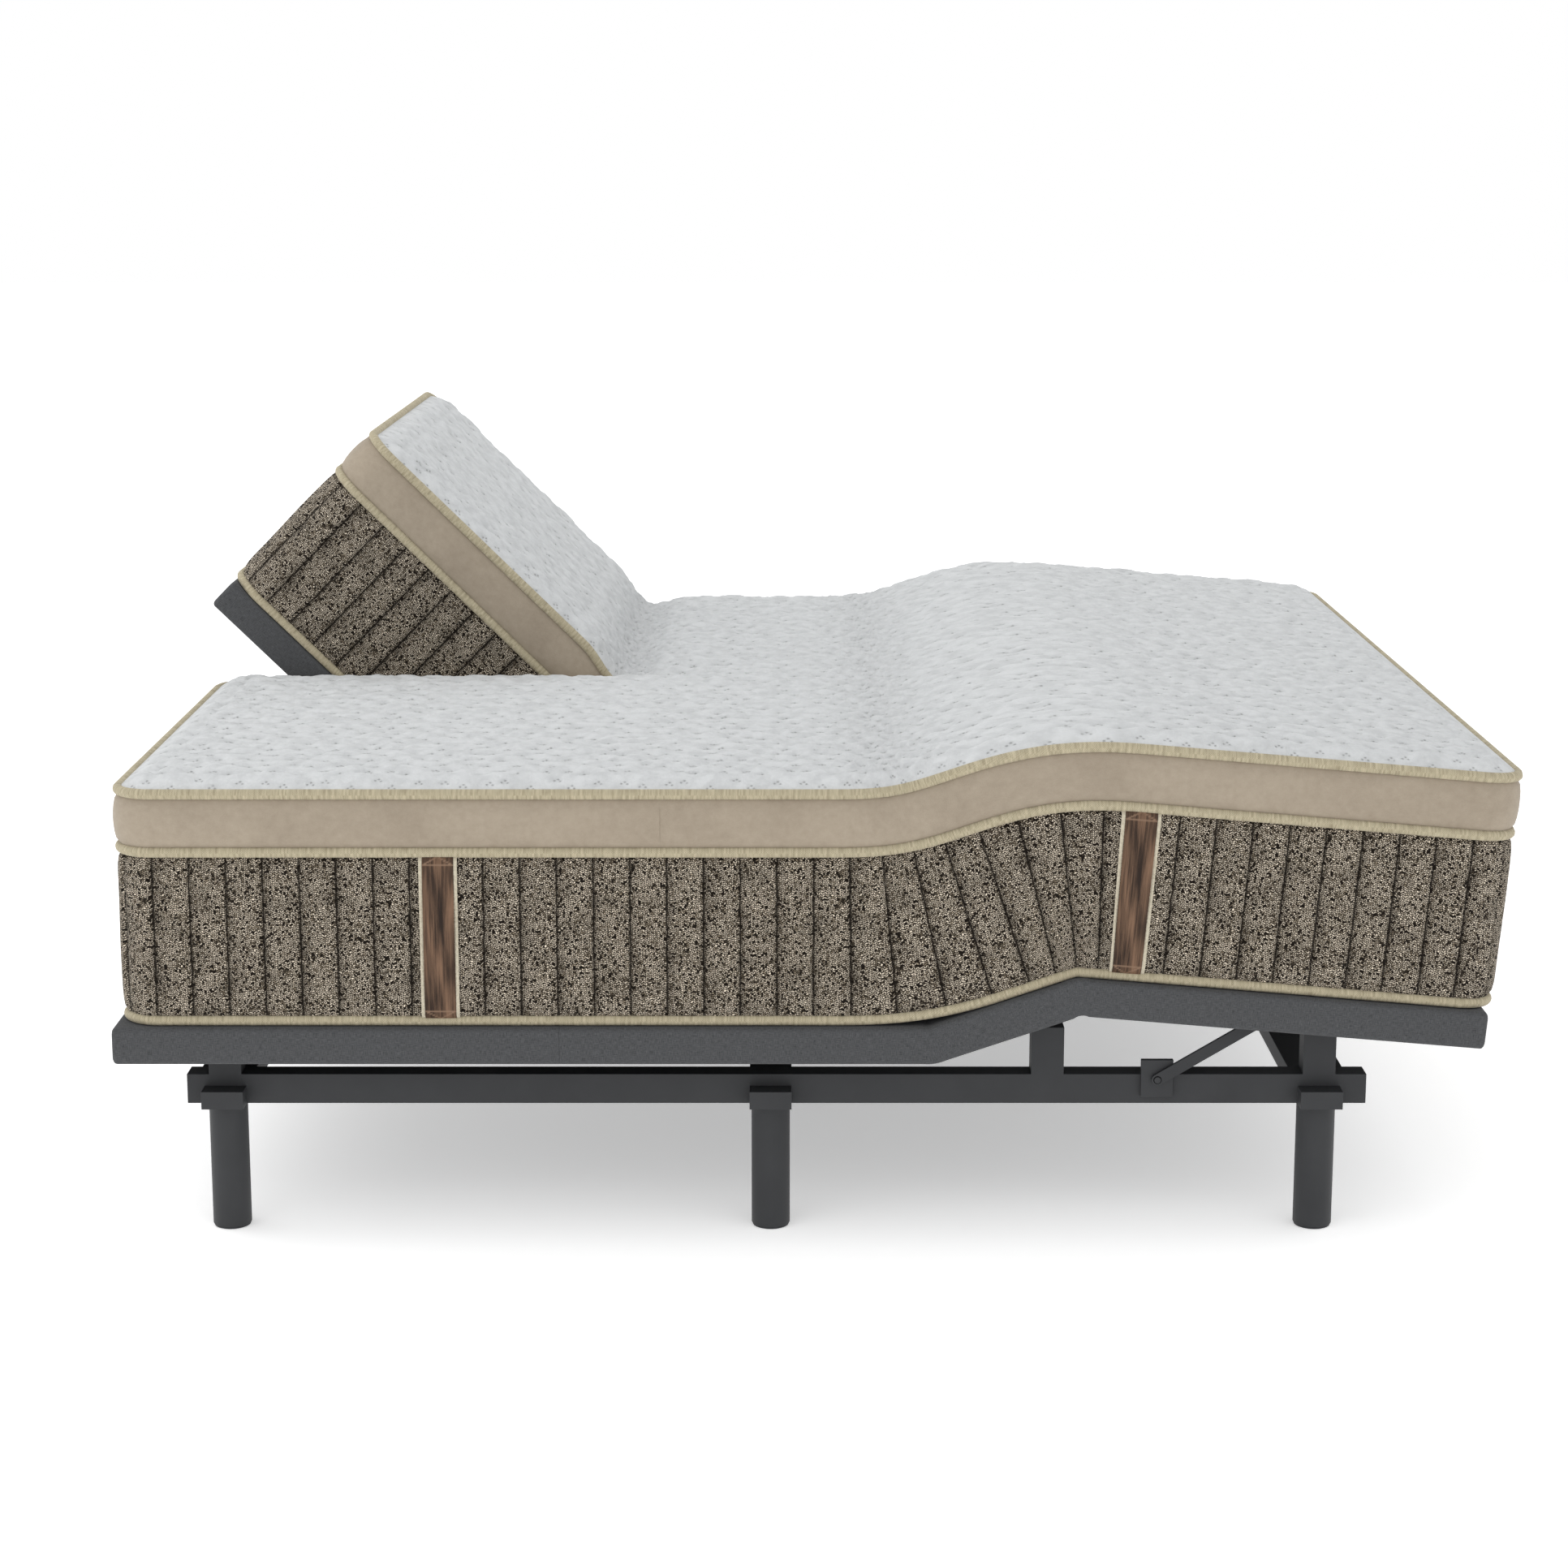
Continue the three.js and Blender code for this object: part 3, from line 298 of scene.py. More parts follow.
class Shading:
    """A material under construction: each call adds one node and returns its output."""

    def __init__(self, name: str, roughness: float, metallic: float = 0.0, sheen: float = 0.0,
                 specular: float = 0.5) -> None:
        """Starts a material whose all-over values sit on the shader itself."""
        self.material = bpy.data.materials.new(name)
        self.material.use_nodes = True
        self.tree = self.material.node_tree
        self.shader = self.tree.nodes["Principled BSDF"]
        self.shader.inputs["Roughness"].default_value = roughness
        self.shader.inputs["Metallic"].default_value = metallic
        self.shader.inputs["Sheen Weight"].default_value = sheen
        self.shader.inputs["Specular IOR Level"].default_value = specular

    def node(self, kind: str, inputs: dict | None = None, **settings: object) -> bpy.types.Node:
        """Adds a node, sets its options and feeds its inputs by name or number."""
        made = self.tree.nodes.new(kind)
        for key, value in settings.items():
            setattr(made, key, value)
        for key, value in (inputs or {}).items():
            if isinstance(value, bpy.types.NodeSocket):
                self.tree.links.new(value, made.inputs[key])
            else:
                made.inputs[key].default_value = value
        return made

    def math(self, operation: str, *values: object) -> bpy.types.NodeSocket:
        """One arithmetic step."""
        return self.node("ShaderNodeMath", dict(enumerate(values)), operation=operation).outputs[0]

    def cloth(self) -> tuple[bpy.types.NodeSocket, bpy.types.NodeSocket]:
        """The piece's own map in metres: along and across."""
        place = self.node("ShaderNodeUVMap", uv_map="cloth").outputs[0]
        parts = self.node("ShaderNodeSeparateXYZ", {0: place})
        return parts.outputs[0], parts.outputs[1]

    def solid(self) -> bpy.types.NodeSocket:
        """The piece's object coordinates."""
        return self.node("ShaderNodeTexCoord").outputs["Object"]

    def place(self, x: object, y: object, z: object = 0.0) -> bpy.types.NodeSocket:
        """Three numbers as one vector."""
        return self.node("ShaderNodeCombineXYZ", {0: x, 1: y, 2: z}).outputs[0]

    def noise(self, vector: object, scale: float, detail: float = 2.0,
              rough: float = 0.5) -> bpy.types.NodeSocket:
        """Soft noise from 0 to 1."""
        values = {"Vector": vector, "Scale": scale, "Detail": detail, "Roughness": rough}
        return self.node("ShaderNodeTexNoise", values).outputs[0]

    def ramp(self, amount: object, stops: list[tuple[float, tuple]]) -> bpy.types.NodeSocket:
        """A colour picked along a ramp."""
        made = self.node("ShaderNodeValToRGB", {0: amount})
        marks = made.color_ramp.elements
        while len(marks) < len(stops):
            marks.new(0.5)
        for mark, (position, colour) in zip(marks, stops):
            mark.position = position
            mark.color = colour
        return made.outputs[0]

    def mix(self, amount: object, first: object, second: object,
            blend: str = "MIX") -> bpy.types.NodeSocket:
        """Two colours mixed."""
        values = {0: amount, 6: first, 7: second}
        return self.node("ShaderNodeMix", values, data_type="RGBA", blend_type=blend).outputs[2]

    def finish(self, colour: bpy.types.NodeSocket, height: bpy.types.NodeSocket | None = None,
               depth: float = 0.0, roughness: bpy.types.NodeSocket | None = None,
               ) -> bpy.types.Material:
        """Connects the colour, the relief and the roughness, and returns the material."""
        self.tree.links.new(colour, self.shader.inputs["Base Color"])
        if height is not None:
            bump = self.node("ShaderNodeBump", {"Height": height, "Distance": depth})
            self.tree.links.new(bump.outputs[0], self.shader.inputs["Normal"])
        if roughness is not None:
            self.tree.links.new(roughness, self.shader.inputs["Roughness"])
        return self.material


@dataclass(frozen=True)
class Tufts:
    """Where the quilting is stitched down: a staggered lattice, each tuft a little astray."""

    repeat: float = 260 * MM
    columns: int = 8
    rows: int = 6
    astray: float = 0.2
    across_turn: tuple[float, float] = (2.1, 4.7)
    along_turn: tuple[float, float] = (3.7, 1.3)

    @property
    def pitch(self) -> tuple[float, float]:
        """The spacing of columns and of rows."""
        return self.repeat / self.columns, self.repeat / self.rows

    def places(self) -> list[tuple[float, float]]:
        """The middle of every tuft in one repeat."""
        return [
            ((i + 0.5 - 0.5 * (j % 2) - self.stray(i, j, self.across_turn)) * self.pitch[0],
             (j + 0.5 - self.stray(i, j, self.along_turn)) * self.pitch[1])
            for i in range(self.columns) for j in range(self.rows)
        ]

    def stray(self, column: int, row: int, turn: tuple[float, float]) -> float:
        """How far one tuft stands off its lattice point, in pitches."""
        return self.astray * math.sin(turn[0] * column + turn[1] * row)

    def offsets(self, work: "Shading", along: object, across: object) -> tuple[object, object]:
        """The way from the nearest tuft to each point of a material.

        Args:
            work: The material under construction.
            along: The cloth map's first number.
            across: The cloth map's second number.

        Returns:
            The two parts of the way, in metres.
        """
        v = work.math("DIVIDE", across, self.pitch[1])
        row = work.math("FLOORED_MODULO", work.math("FLOOR", v), float(self.rows))
        odd = work.math("FLOORED_MODULO", row, 2.0)
        u = work.math("ADD", work.math("DIVIDE", along, self.pitch[0]), work.math("MULTIPLY", odd, 0.5))
        column = work.math("FLOORED_MODULO", work.math("FLOOR", u), float(self.columns))
        ways = []
        for place, turn, pitch in ((u, self.across_turn, self.pitch[0]),
                                   (v, self.along_turn, self.pitch[1])):
            phase = work.math("ADD", work.math("MULTIPLY", column, turn[0]),
                              work.math("MULTIPLY", row, turn[1]))
            stray = work.math("MULTIPLY", work.math("SINE", phase), self.astray)
            middle = work.math("SUBTRACT", work.math("FRACT", place), 0.5)
            ways.append(work.math("MULTIPLY", work.math("ADD", middle, stray), pitch))
        return ways[0], ways[1]


@dataclass(frozen=True)
class Quilting:
    """Pale stretch-knit quilting with small dark needle holes at its tufts and painted shade in the
    dimples round them.
    """

    pale: tuple = tone(213, 215, 216)
    shade: tuple = tone(199, 201, 202)
    # Painted shade: the colour laid into the dimples round the tufts.
    painted_dimple_shade: tuple = tone(178, 180, 180)
    thread: tuple = tone(112, 114, 112)
    hole: float = 1.5 * MM
    holes: tuple = ((-3.4 * MM, -1.2 * MM), (1.2 * MM, 2.8 * MM), (4.6 * MM, -2.0 * MM))
    pit: float = 8 * MM
    knit: float = 1.4 * MM

    def material(self) -> bpy.types.Material:
        """Builds the quilted cover's material."""
        work = Shading("quilted_knit", 0.85, sheen=0.1, specular=0.2)
        along, across = work.cloth()
        place = work.place(along, across)
        patches = work.noise(place, 34.0, 4.0, 0.6)
        base = work.ramp(patches, [(0.36, self.shade), (0.6, self.pale)])
        # Painted shade: the stitched attribute darkens the colour in the dimples round the tufts, where
        # shade falls.
        dimple_shade_mask = work.node("ShaderNodeAttribute", attribute_name="stitched").outputs["Fac"]
        dimple_shaded = work.mix(work.math("MULTIPLY", dimple_shade_mask, 0.6), base, self.painted_dimple_shade)
        x, y = Tufts().offsets(work, along, across)
        nearest: object = 1.0
        for dx, dy in self.holes:
            way = work.node("ShaderNodeVectorMath", {0: work.place(x, y), 1: (dx, dy, 0.0)},
                            operation="DISTANCE").outputs["Value"]
            nearest = work.math("MINIMUM", nearest, way)
        hole = work.math("EXPONENT", work.math("MULTIPLY", work.math("POWER", work.math(
            "DIVIDE", nearest, self.hole), 2.0), -1.0))
        shown = work.math("MULTIPLY", hole, work.noise(place, 55.0))
        holed = work.mix(shown, dimple_shaded, self.thread)
        rows = work.math("SINE", work.math("MULTIPLY", across, 2 * math.pi / self.knit))
        cols = work.math("SINE", work.math("MULTIPLY", along, 2 * math.pi / self.knit))
        knit = work.math("MULTIPLY", rows, cols)
        wrinkles = work.noise(place, 46.0, 4.0, 0.55)
        away = work.node("ShaderNodeVectorMath", {0: work.place(x, y)}, operation="LENGTH")
        far = work.math("POWER", work.math("DIVIDE", away.outputs["Value"], self.pit), 2.0)
        pit = work.math("EXPONENT", work.math("MULTIPLY", far, -1.0))
        relief = work.math("ADD", work.math("MULTIPLY", wrinkles, 4.0), work.math("MULTIPLY", knit, 0.1))
        drawn = work.math("ADD", work.math("MULTIPLY", pit, 1.6), work.math("MULTIPLY", hole, 1.2))
        sunk = work.math("SUBTRACT", relief, drawn)
        return work.finish(holed, sunk, 1.6 * MM)


@dataclass(frozen=True)
class Suede:
    """Short-napped suede of the upper band."""

    light: tuple = tone(169, 157, 140)
    dark: tuple = tone(148, 136, 120)

    def material(self) -> bpy.types.Material:
        """Builds the suede's material."""
        work = Shading("suede", 0.92, sheen=0.15, specular=0.2)
        along, across = work.cloth()
        place = work.place(along, across)
        clouds = work.noise(place, 9.0, 4.0, 0.6)
        strokes = work.noise(place, 75.0, 6.0, 0.72)
        nap = work.noise(place, 900.0, 2.0)
        brushed = work.math("ADD", work.math("MULTIPLY", clouds, 0.4), work.math("MULTIPLY", strokes, 0.4))
        amount = work.math("ADD", brushed, work.math("MULTIPLY", nap, 0.2))
        colour = work.ramp(amount, [(0.36, self.dark), (0.66, self.light)])
        return work.finish(colour, nap, 0.5 * MM)


@dataclass(frozen=True)
class Piping:
    """Basket-woven tape rolled over the cords that edge the mattress."""

    light: tuple = tone(206, 196, 168)
    dark: tuple = tone(122, 111, 88)
    thread: float = 2.3 * MM
    row: float = 2.0 * MM

    def material(self) -> bpy.types.Material:
        """Builds the piping's material."""
        work = Shading("piping_weave", 0.88, sheen=0.1, specular=0.2)
        along, across = work.cloth()
        warp = work.math("SINE", work.math("MULTIPLY", along, 2 * math.pi / self.thread))
        weft = work.math("SINE", work.math("MULTIPLY", across, 2 * math.pi / self.row))
        checks = work.math("MULTIPLY", warp, weft)
        slubs = work.noise(work.place(along, work.math("MULTIPLY", across, 0.08)), 240.0, 3.0, 0.7)
        weave = work.math("ADD", work.math("MULTIPLY", checks, 0.3), slubs)
        colour = work.ramp(weave, [(0.18, self.dark), (0.74, self.light)])
        return work.finish(colour, weave, 0.7 * MM)


@dataclass(frozen=True)
class Boucle:
    """Salt-and-pepper looped yarn of the lower band, laid in small chevrons, with painted shade between
    its loops, on the low side of each rib and along each seam.
    """

    dark: tuple = tone(24, 18, 11)
    middle: tuple = tone(160, 146, 125)
    light: tuple = tone(240, 226, 205)
    stitch: float = 6.0 * MM
    course: float = 2.9 * MM
    pitch: float = 53.4 * MM

    def material(self) -> bpy.types.Material:
        """Builds the looped yarn's material."""
        work = Shading("boucle", 0.95, sheen=0.05, specular=0.1)
        along, across = work.cloth()
        place = work.place(along, across)
        drift = work.math("SUBTRACT", work.noise(place, 130.0, 2.0), 0.5)
        column = work.math("ADD", work.math("DIVIDE", along, self.stitch),
                           work.math("MULTIPLY", drift, 1.5))
        halves = work.math("MULTIPLY", column, 2.0)
        chevron = work.math("MULTIPLY", work.math("PINGPONG", column, 0.5), 1.7)
        wander = work.math("MULTIPLY", work.noise(place, 48.0, 2.0), 3.0)
        course = work.math("ADD", work.math("DIVIDE", across, self.course),
                           work.math("ADD", chevron, wander))
        cell = work.place(work.math("FLOOR", halves), work.math("FLOOR", course))
        yarn = work.node("ShaderNodeTexWhiteNoise", {"Vector": cell}, noise_dimensions="2D").outputs[0]
        round_up = work.math("SINE", work.math("MULTIPLY", work.math("FRACT", course), math.pi))
        round_along = work.math("SINE", work.math("MULTIPLY", work.math("FRACT", halves), math.pi))
        loop = work.math("MULTIPLY", round_up, work.math("POWER", round_along, 0.35))
        colour = work.ramp(yarn, [(0.0, self.dark), (0.07, self.dark), (0.2, self.middle),
                                  (0.55, self.light), (1.0, self.light)])
        # Painted shade: the low edges of each loop are darkened towards the dark yarn colour, where shade
        # falls between loops.
        loop_gap_shade = work.math("SUBTRACT", work.math("MULTIPLY", work.math("SUBTRACT", 1.0, loop), 1.9), 0.1)
        shown = work.mix(work.math("MAXIMUM", work.math("MINIMUM", loop_gap_shade, 1.0), 0.0), colour, self.dark)
        cloudy = work.noise(place, 24.0, 2.0)
        wave = work.math("MULTIPLY", work.math("SUBTRACT", work.noise(place, 60.0), 0.5), 0.07)
        rib = work.math("FRACT", work.math("ADD", work.math("DIVIDE", along, self.pitch), wave))
        # Painted shade: each rib darkens on its low side just past the seam, and a thin dark line runs
        # along each seam groove.
        shade = work.math("EXPONENT", work.math("MULTIPLY", rib, -7.0))
        near_seam = work.math("MINIMUM", rib, work.math("SUBTRACT", 1.0, rib))
        seam = work.math("EXPONENT", work.math("MULTIPLY", near_seam, -45.0))
        # The cloudy dimming is the yarn's own uneven tone, summed here with the painted shade of the ribs.
        dim = work.math("MULTIPLY", work.math("SUBTRACT", 0.56, cloudy), 1.1)
        mottle_and_rib_shade = work.math("ADD", work.math("MAXIMUM", dim, 0.0), work.math("MULTIPLY", shade, 0.5))
        # Painted shade: sewn adds the dark seam line to the random dimming and the rib shade, and darkens
        # the colour by it.
        sewn = work.math("MINIMUM", work.math("ADD", mottle_and_rib_shade, seam), 0.97)
        relief = work.math("ADD", loop, work.math("MULTIPLY", yarn, 0.6))
        return work.finish(work.mix(sewn, shown, self.dark), relief, 1.2 * MM)


@dataclass(frozen=True)
class Linen:
    """Charcoal linen with slubs both ways, over the deck panels."""

    light: tuple = tone(92, 93, 95)
    dark: tuple = tone(50, 51, 52)

    def material(self) -> bpy.types.Material:
        """Builds the deck linen's material."""
        work = Shading("deck_linen", 0.95, sheen=0.05, specular=0.15)
        along, across = work.cloth()
        warp = work.noise(work.place(work.math("MULTIPLY", along, 14.0), across), 110.0, 4.0, 0.7)
        weft = work.noise(work.place(along, work.math("MULTIPLY", across, 14.0)), 110.0, 4.0, 0.7)
        weave = work.math("MULTIPLY", work.math("ADD", warp, weft), 0.5)
        colour = work.ramp(weave, [(0.36, self.dark), (0.62, self.light)])
        return work.finish(colour, weave, 0.6 * MM)


@dataclass(frozen=True)
class Webbing:
    """Brown woven strap with lengthwise cords, a stitched box at each end and painted sheen in light and
    dark patches.
    """

    light: tuple = tone(134, 104, 82)
    dark: tuple = tone(38, 26, 19)
    stitch: tuple = tone(136, 110, 90)
    cord: float = 1.5 * MM

    def material(self) -> bpy.types.Material:
        """Builds the handle's material. The map runs 0 to 1 up the strap in its y."""
        work = Shading("handle_webbing", 0.7, specular=0.25)
        across, up = work.cloth()
        cords = work.math("SINE", work.math("MULTIPLY", across, 2 * math.pi / self.cord))
        # Painted sheen: the streaks and the broad patches lay the satin's light and dark sheen into the
        # colour.
        streaks = work.noise(work.place(work.math("MULTIPLY", across, 24.0), up), 11.0, 4.0, 0.65)
        painted_sheen_patches = work.noise(work.place(work.math("MULTIPLY", across, 5.0), up), 9.0, 1.0)
        picks = work.math("SINE", work.math("MULTIPLY", up, 2 * math.pi / self.cord))
        threads = work.math("MULTIPLY", work.math("MULTIPLY", cords, picks), 0.05)
        sheen = work.math("MULTIPLY", work.math("ADD", streaks, painted_sheen_patches), 0.5)
        weave = work.math("ADD", threads, sheen)
        colour = work.ramp(weave, [(0.4, self.dark), (0.66, self.light)])
        threads = work.node("ShaderNodeAttribute", attribute_name="stitched").outputs["Fac"]
        return work.finish(work.mix(threads, colour, self.stitch), weave, 0.8 * MM)


@dataclass(frozen=True)
class Tape:
    """Pale grosgrain tape beside each handle."""

    light: tuple = tone(200, 192, 172)
    dark: tuple = tone(176, 167, 147)

    def material(self) -> bpy.types.Material:
        """Builds the tape's material."""
        work = Shading("grosgrain_tape", 0.8, sheen=0.15, specular=0.25)
        along, across = work.cloth()
        ribs = work.math("SINE", work.math("MULTIPLY", across, 2 * math.pi / (1.6 * MM)))
        mottle = work.noise(work.place(along, across), 240.0, 2.0)
        weave = work.math("ADD", work.math("MULTIPLY", ribs, 0.1), mottle)
        colour = work.ramp(weave, [(0.35, self.dark), (0.62, self.light)])
        return work.finish(colour, weave, 0.4 * MM)


@dataclass(frozen=True)
class Coated:
    """A fine-grained hard finish: powder coat, moulded plastic or nylon."""

    name: str
    light: tuple
    dark: tuple
    roughness: float
    grain: float = 1400.0
    depth: float = 0.12 * MM

    def material(self) -> bpy.types.Material:
        """Builds the coating's material."""
        work = Shading(self.name, self.roughness, specular=0.32)
        place = work.solid()
        grain = work.noise(place, self.grain, 2.0)
        cloud = work.noise(place, 9.0, 3.0, 0.6)
        amount = work.math("ADD", work.math("MULTIPLY", grain, 0.35), work.math("MULTIPLY", cloud, 0.65))
        colour = work.ramp(amount, [(0.34, self.dark), (0.66, self.light)])
        spread = work.math("ADD", work.math("MULTIPLY", cloud, 0.16), self.roughness - 0.08)
        return work.finish(colour, grain, self.depth, spread)


@dataclass(frozen=True)
class Brushed:
    """Bright steel with fine lengthwise brushing."""

    light: tuple = tone(214, 216, 218)
    dark: tuple = tone(176, 179, 182)

    def material(self) -> bpy.types.Material:
        """Builds the bright steel's material."""
        work = Shading("bright_steel", 0.28, metallic=0.95)
        parts = work.node("ShaderNodeSeparateXYZ", {0: work.solid()})
        stretched = work.place(work.math("MULTIPLY", parts.outputs[0], 0.03), parts.outputs[1],
                               parts.outputs[2])
        lines = work.noise(stretched, 1500.0, 3.0, 0.6)
        colour = work.ramp(lines, [(0.3, self.dark), (0.7, self.light)])
        spread = work.math("ADD", work.math("MULTIPLY", lines, 0.22), 0.18)
        return work.finish(colour, lines, 0.05 * MM, spread)


class Finishes:
    """Every material of the bed, made once."""

    def __init__(self) -> None:
        """Builds the materials."""
        self.quilting = Quilting().material()
        self.suede = Suede().material()
        self.piping = Piping().material()
        self.boucle = Boucle().material()
        self.linen = Linen().material()
        self.webbing = Webbing().material()
        self.tape = Tape().material()
        self.bright = Brushed().material()
        self.steel = Coated("powder_coat", tone(54, 55, 57), tone(45, 46, 48), 0.55).material()
        self.plastic = Coated("black_plastic", tone(46, 48, 51), tone(36, 38, 40), 0.55,
                              900.0).material()
        self.nylon = Coated("white_nylon", tone(226, 225, 219), tone(208, 206, 199), 0.42,
                            500.0, 0.05 * MM).material()


# ---- Mesh tools -----------------------------------------------------------------------------


def reshape(bm: bmesh.types.BMesh, move: Callable[[Points], Points]) -> None:
    """Moves every vertex by a function on the whole array of points."""
    moved = move(np.array([v.co for v in bm.verts]))
    for vertex, place in zip(bm.verts, moved):
        vertex.co = place


def unit_grid(columns: int, rows: int) -> bmesh.types.BMesh:
    """A flat grid whose x and y run from 0 to 1, facing up."""
    bm = bmesh.new()
    bmesh.ops.create_grid(bm, x_segments=columns, y_segments=rows, size=0.5)
    bmesh.ops.translate(bm, verts=bm.verts[:], vec=(0.5, 0.5, 0.0))
    return bm


def map_cloth(bm: bmesh.types.BMesh, pick: Callable[[Vector, Vector], tuple[float, float]]) -> None:
    """Writes the cloth map from each corner's place and its face's normal."""
    bm.normal_update()
    layer = bm.loops.layers.uv.get("cloth") or bm.loops.layers.uv.new("cloth")
    for face in bm.faces:
        for loop in face.loops:
            loop[layer].uv = pick(loop.vert.co, face.normal)


def box_map(place: Vector, normal: Vector) -> tuple[float, float]:
    """A cloth map laid on from whichever side the face looks to."""
    if abs(normal.z) > max(abs(normal.x), abs(normal.y)):
        return place.x, place.y
    if abs(normal.y) >= abs(normal.x):
        return place.x, place.z
    return place.y, place.z


def loft(rings: list[Points]) -> bmesh.types.BMesh:
    """A closed skin through rings of points, extruded from one ring to the next.

    Args:
        rings: Arrays of the same number of points, each ring anticlockwise seen from its end.

    Returns:
        The capped mesh.
    """
    bm = bmesh.new()
    ring = [bm.verts.new(place) for place in rings[0]]
    count = len(ring)
    edges = [bm.edges.new((ring[i], ring[(i + 1) % count])) for i in range(count)]
    bm.faces.new(ring)
    for places in rings[1:]:
        made = bmesh.ops.extrude_edge_only(bm, edges=edges)["geom"]
        edges = [g for g in made if isinstance(g, bmesh.types.BMEdge)]
        fresh = [g for g in made if isinstance(g, bmesh.types.BMVert)]
        chain = [e for e in edges if e.verts[0] in set(fresh) and e.verts[1] in set(fresh)]
        edges = chain
        for vertex, place in zip(fresh, places):
            vertex.co = place
    bmesh.ops.edgeloop_fill(bm, edges=edges)
    bmesh.ops.recalc_face_normals(bm, faces=bm.faces[:])
    return bm


def crease(bm: bmesh.types.BMesh, degrees: float) -> None:
    """Shades the mesh smooth, but for edges that turn more than the given angle."""
    limit = math.radians(degrees)
    for face in bm.faces:
        face.smooth = True
    for edge in bm.edges:
        edge.smooth = len(edge.link_faces) == 2 and edge.calc_face_angle(0.0) < limit


def to_object(name: str, bm: bmesh.types.BMesh, material: bpy.types.Material) -> bpy.types.Object:
    """Turns a bmesh into a piece with its material."""
    mesh = bpy.data.meshes.new(name)
    bm.to_mesh(mesh)
    bm.free()
    mesh.materials.append(material)
    piece = bpy.data.objects.new(name, mesh)
    bpy.context.scene.collection.objects.link(piece)
    return piece


def flat_points(piece: bpy.types.Object) -> Points:
    """The piece's vertices as rows of x, y, z."""
    places = np.zeros(len(piece.data.vertices) * 3)
    piece.data.vertices.foreach_get("co", places)
    return places.reshape(-1, 3)


def fold_piece(piece: bpy.types.Object, places: Points) -> None:
    """Puts a flat piece at its resting places.

    Args:
        piece: The finished flat piece.
        places: Its resting places.
    """
    piece.data.vertices.foreach_set("co", places.ravel())
    piece.data.update()
    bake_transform(piece)


# ---- Mattress -------------------------------------------------------------------------------


@dataclass
class Outline:
    """A run round the mattress's edge, with its right-hand side outwards."""

    corners: list[tuple[float, float]]
    radius: float = 60 * MM
    pitch: float = 53.4 * MM
    seam_at: float = -957.5 * MM

    def __post_init__(self) -> None:
        """Rounds the corners off and measures the run."""
        places = [Vector(corner) for corner in self.corners]
        self.legs: list[tuple[str, Vector, Vector, float]] = []
        start = places[0]
        for before, corner, after in zip(places, places[1:], places[2:]):
            come, go = (corner - before).normalized(), (after - corner).normalized()
            self.legs.append(("line", start, come, (corner - come * self.radius - start).length))
            self.legs.append(("arc", corner - come * self.radius, come, self.radius * math.pi / 2))
            start = corner + go * self.radius
        last = (places[-1] - start).normalized()
        self.legs.append(("line", start, last, (places[-1] - start).length))
        self.length = sum(leg[3] for leg in self.legs)

    def along(self, shares: Points) -> tuple[Points, Points]:
        """Places and outward normals at shares of the run.

        Args:
            shares: Numbers from 0 to 1.

        Returns:
            Rows of x, y for the places and for the normals.
        """
        travel = np.asarray(shares) * self.length
        places, normals = np.zeros((len(travel), 2)), np.zeros((len(travel), 2))
        begin = 0.0
        for kind, start, way, length in self.legs:
            chosen = (travel >= begin - 1e-9) & (travel <= begin + length + 1e-9)
            gone = travel[chosen] - begin
            right = np.array([way.y, -way.x])
            forward = np.array([way.x, way.y])
            if kind == "line":
                places[chosen] = np.array(start) + gone[:, None] * forward
                normals[chosen] = right
            else:
                turn = gone / self.radius
                centre = np.array(start) - right * self.radius
                out = np.cos(turn)[:, None] * right + np.sin(turn)[:, None] * forward
                places[chosen] = centre + out * self.radius
                normals[chosen] = out
            begin += length
        return places, normals

    def ribs(self, shares: Points) -> Points:
        """Counts the sewn ribs along the run, so that seams fall on whole numbers."""
        knots, values, begin = [], [], 0.0
        for kind, start, way, length in self.legs:
            if kind == "line" and abs(way.x) > 0.5:
                side = math.copysign(1.0, way.x)
                first = side * (start.x - self.seam_at) / self.pitch
                if values:
                    guess = values[-1] + (begin - knots[-1]) / self.pitch
                    first += round(guess - first)
                knots += [begin, begin + length]
                values += [first, first + length / self.pitch]
            begin += length
        return np.interp(np.asarray(shares) * self.length, knots, values)


    def steps(self, per_rib: int) -> Points:
        """Shares of the run for a band's columns, with a column on every seam.

        Args:
            per_rib: Columns to each rib.

        Returns:
            Rising shares from 0 to 1.
        """
        fine = np.linspace(0.0, 1.0, 4001)
        ribs = self.ribs(fine)
        marks = np.arange(math.ceil(ribs[0] * per_rib + 0.3), math.floor(ribs[-1] * per_rib - 0.3) + 1)
        return np.concatenate([[0.0], np.interp(marks / per_rib, ribs, fine), [1.0]])


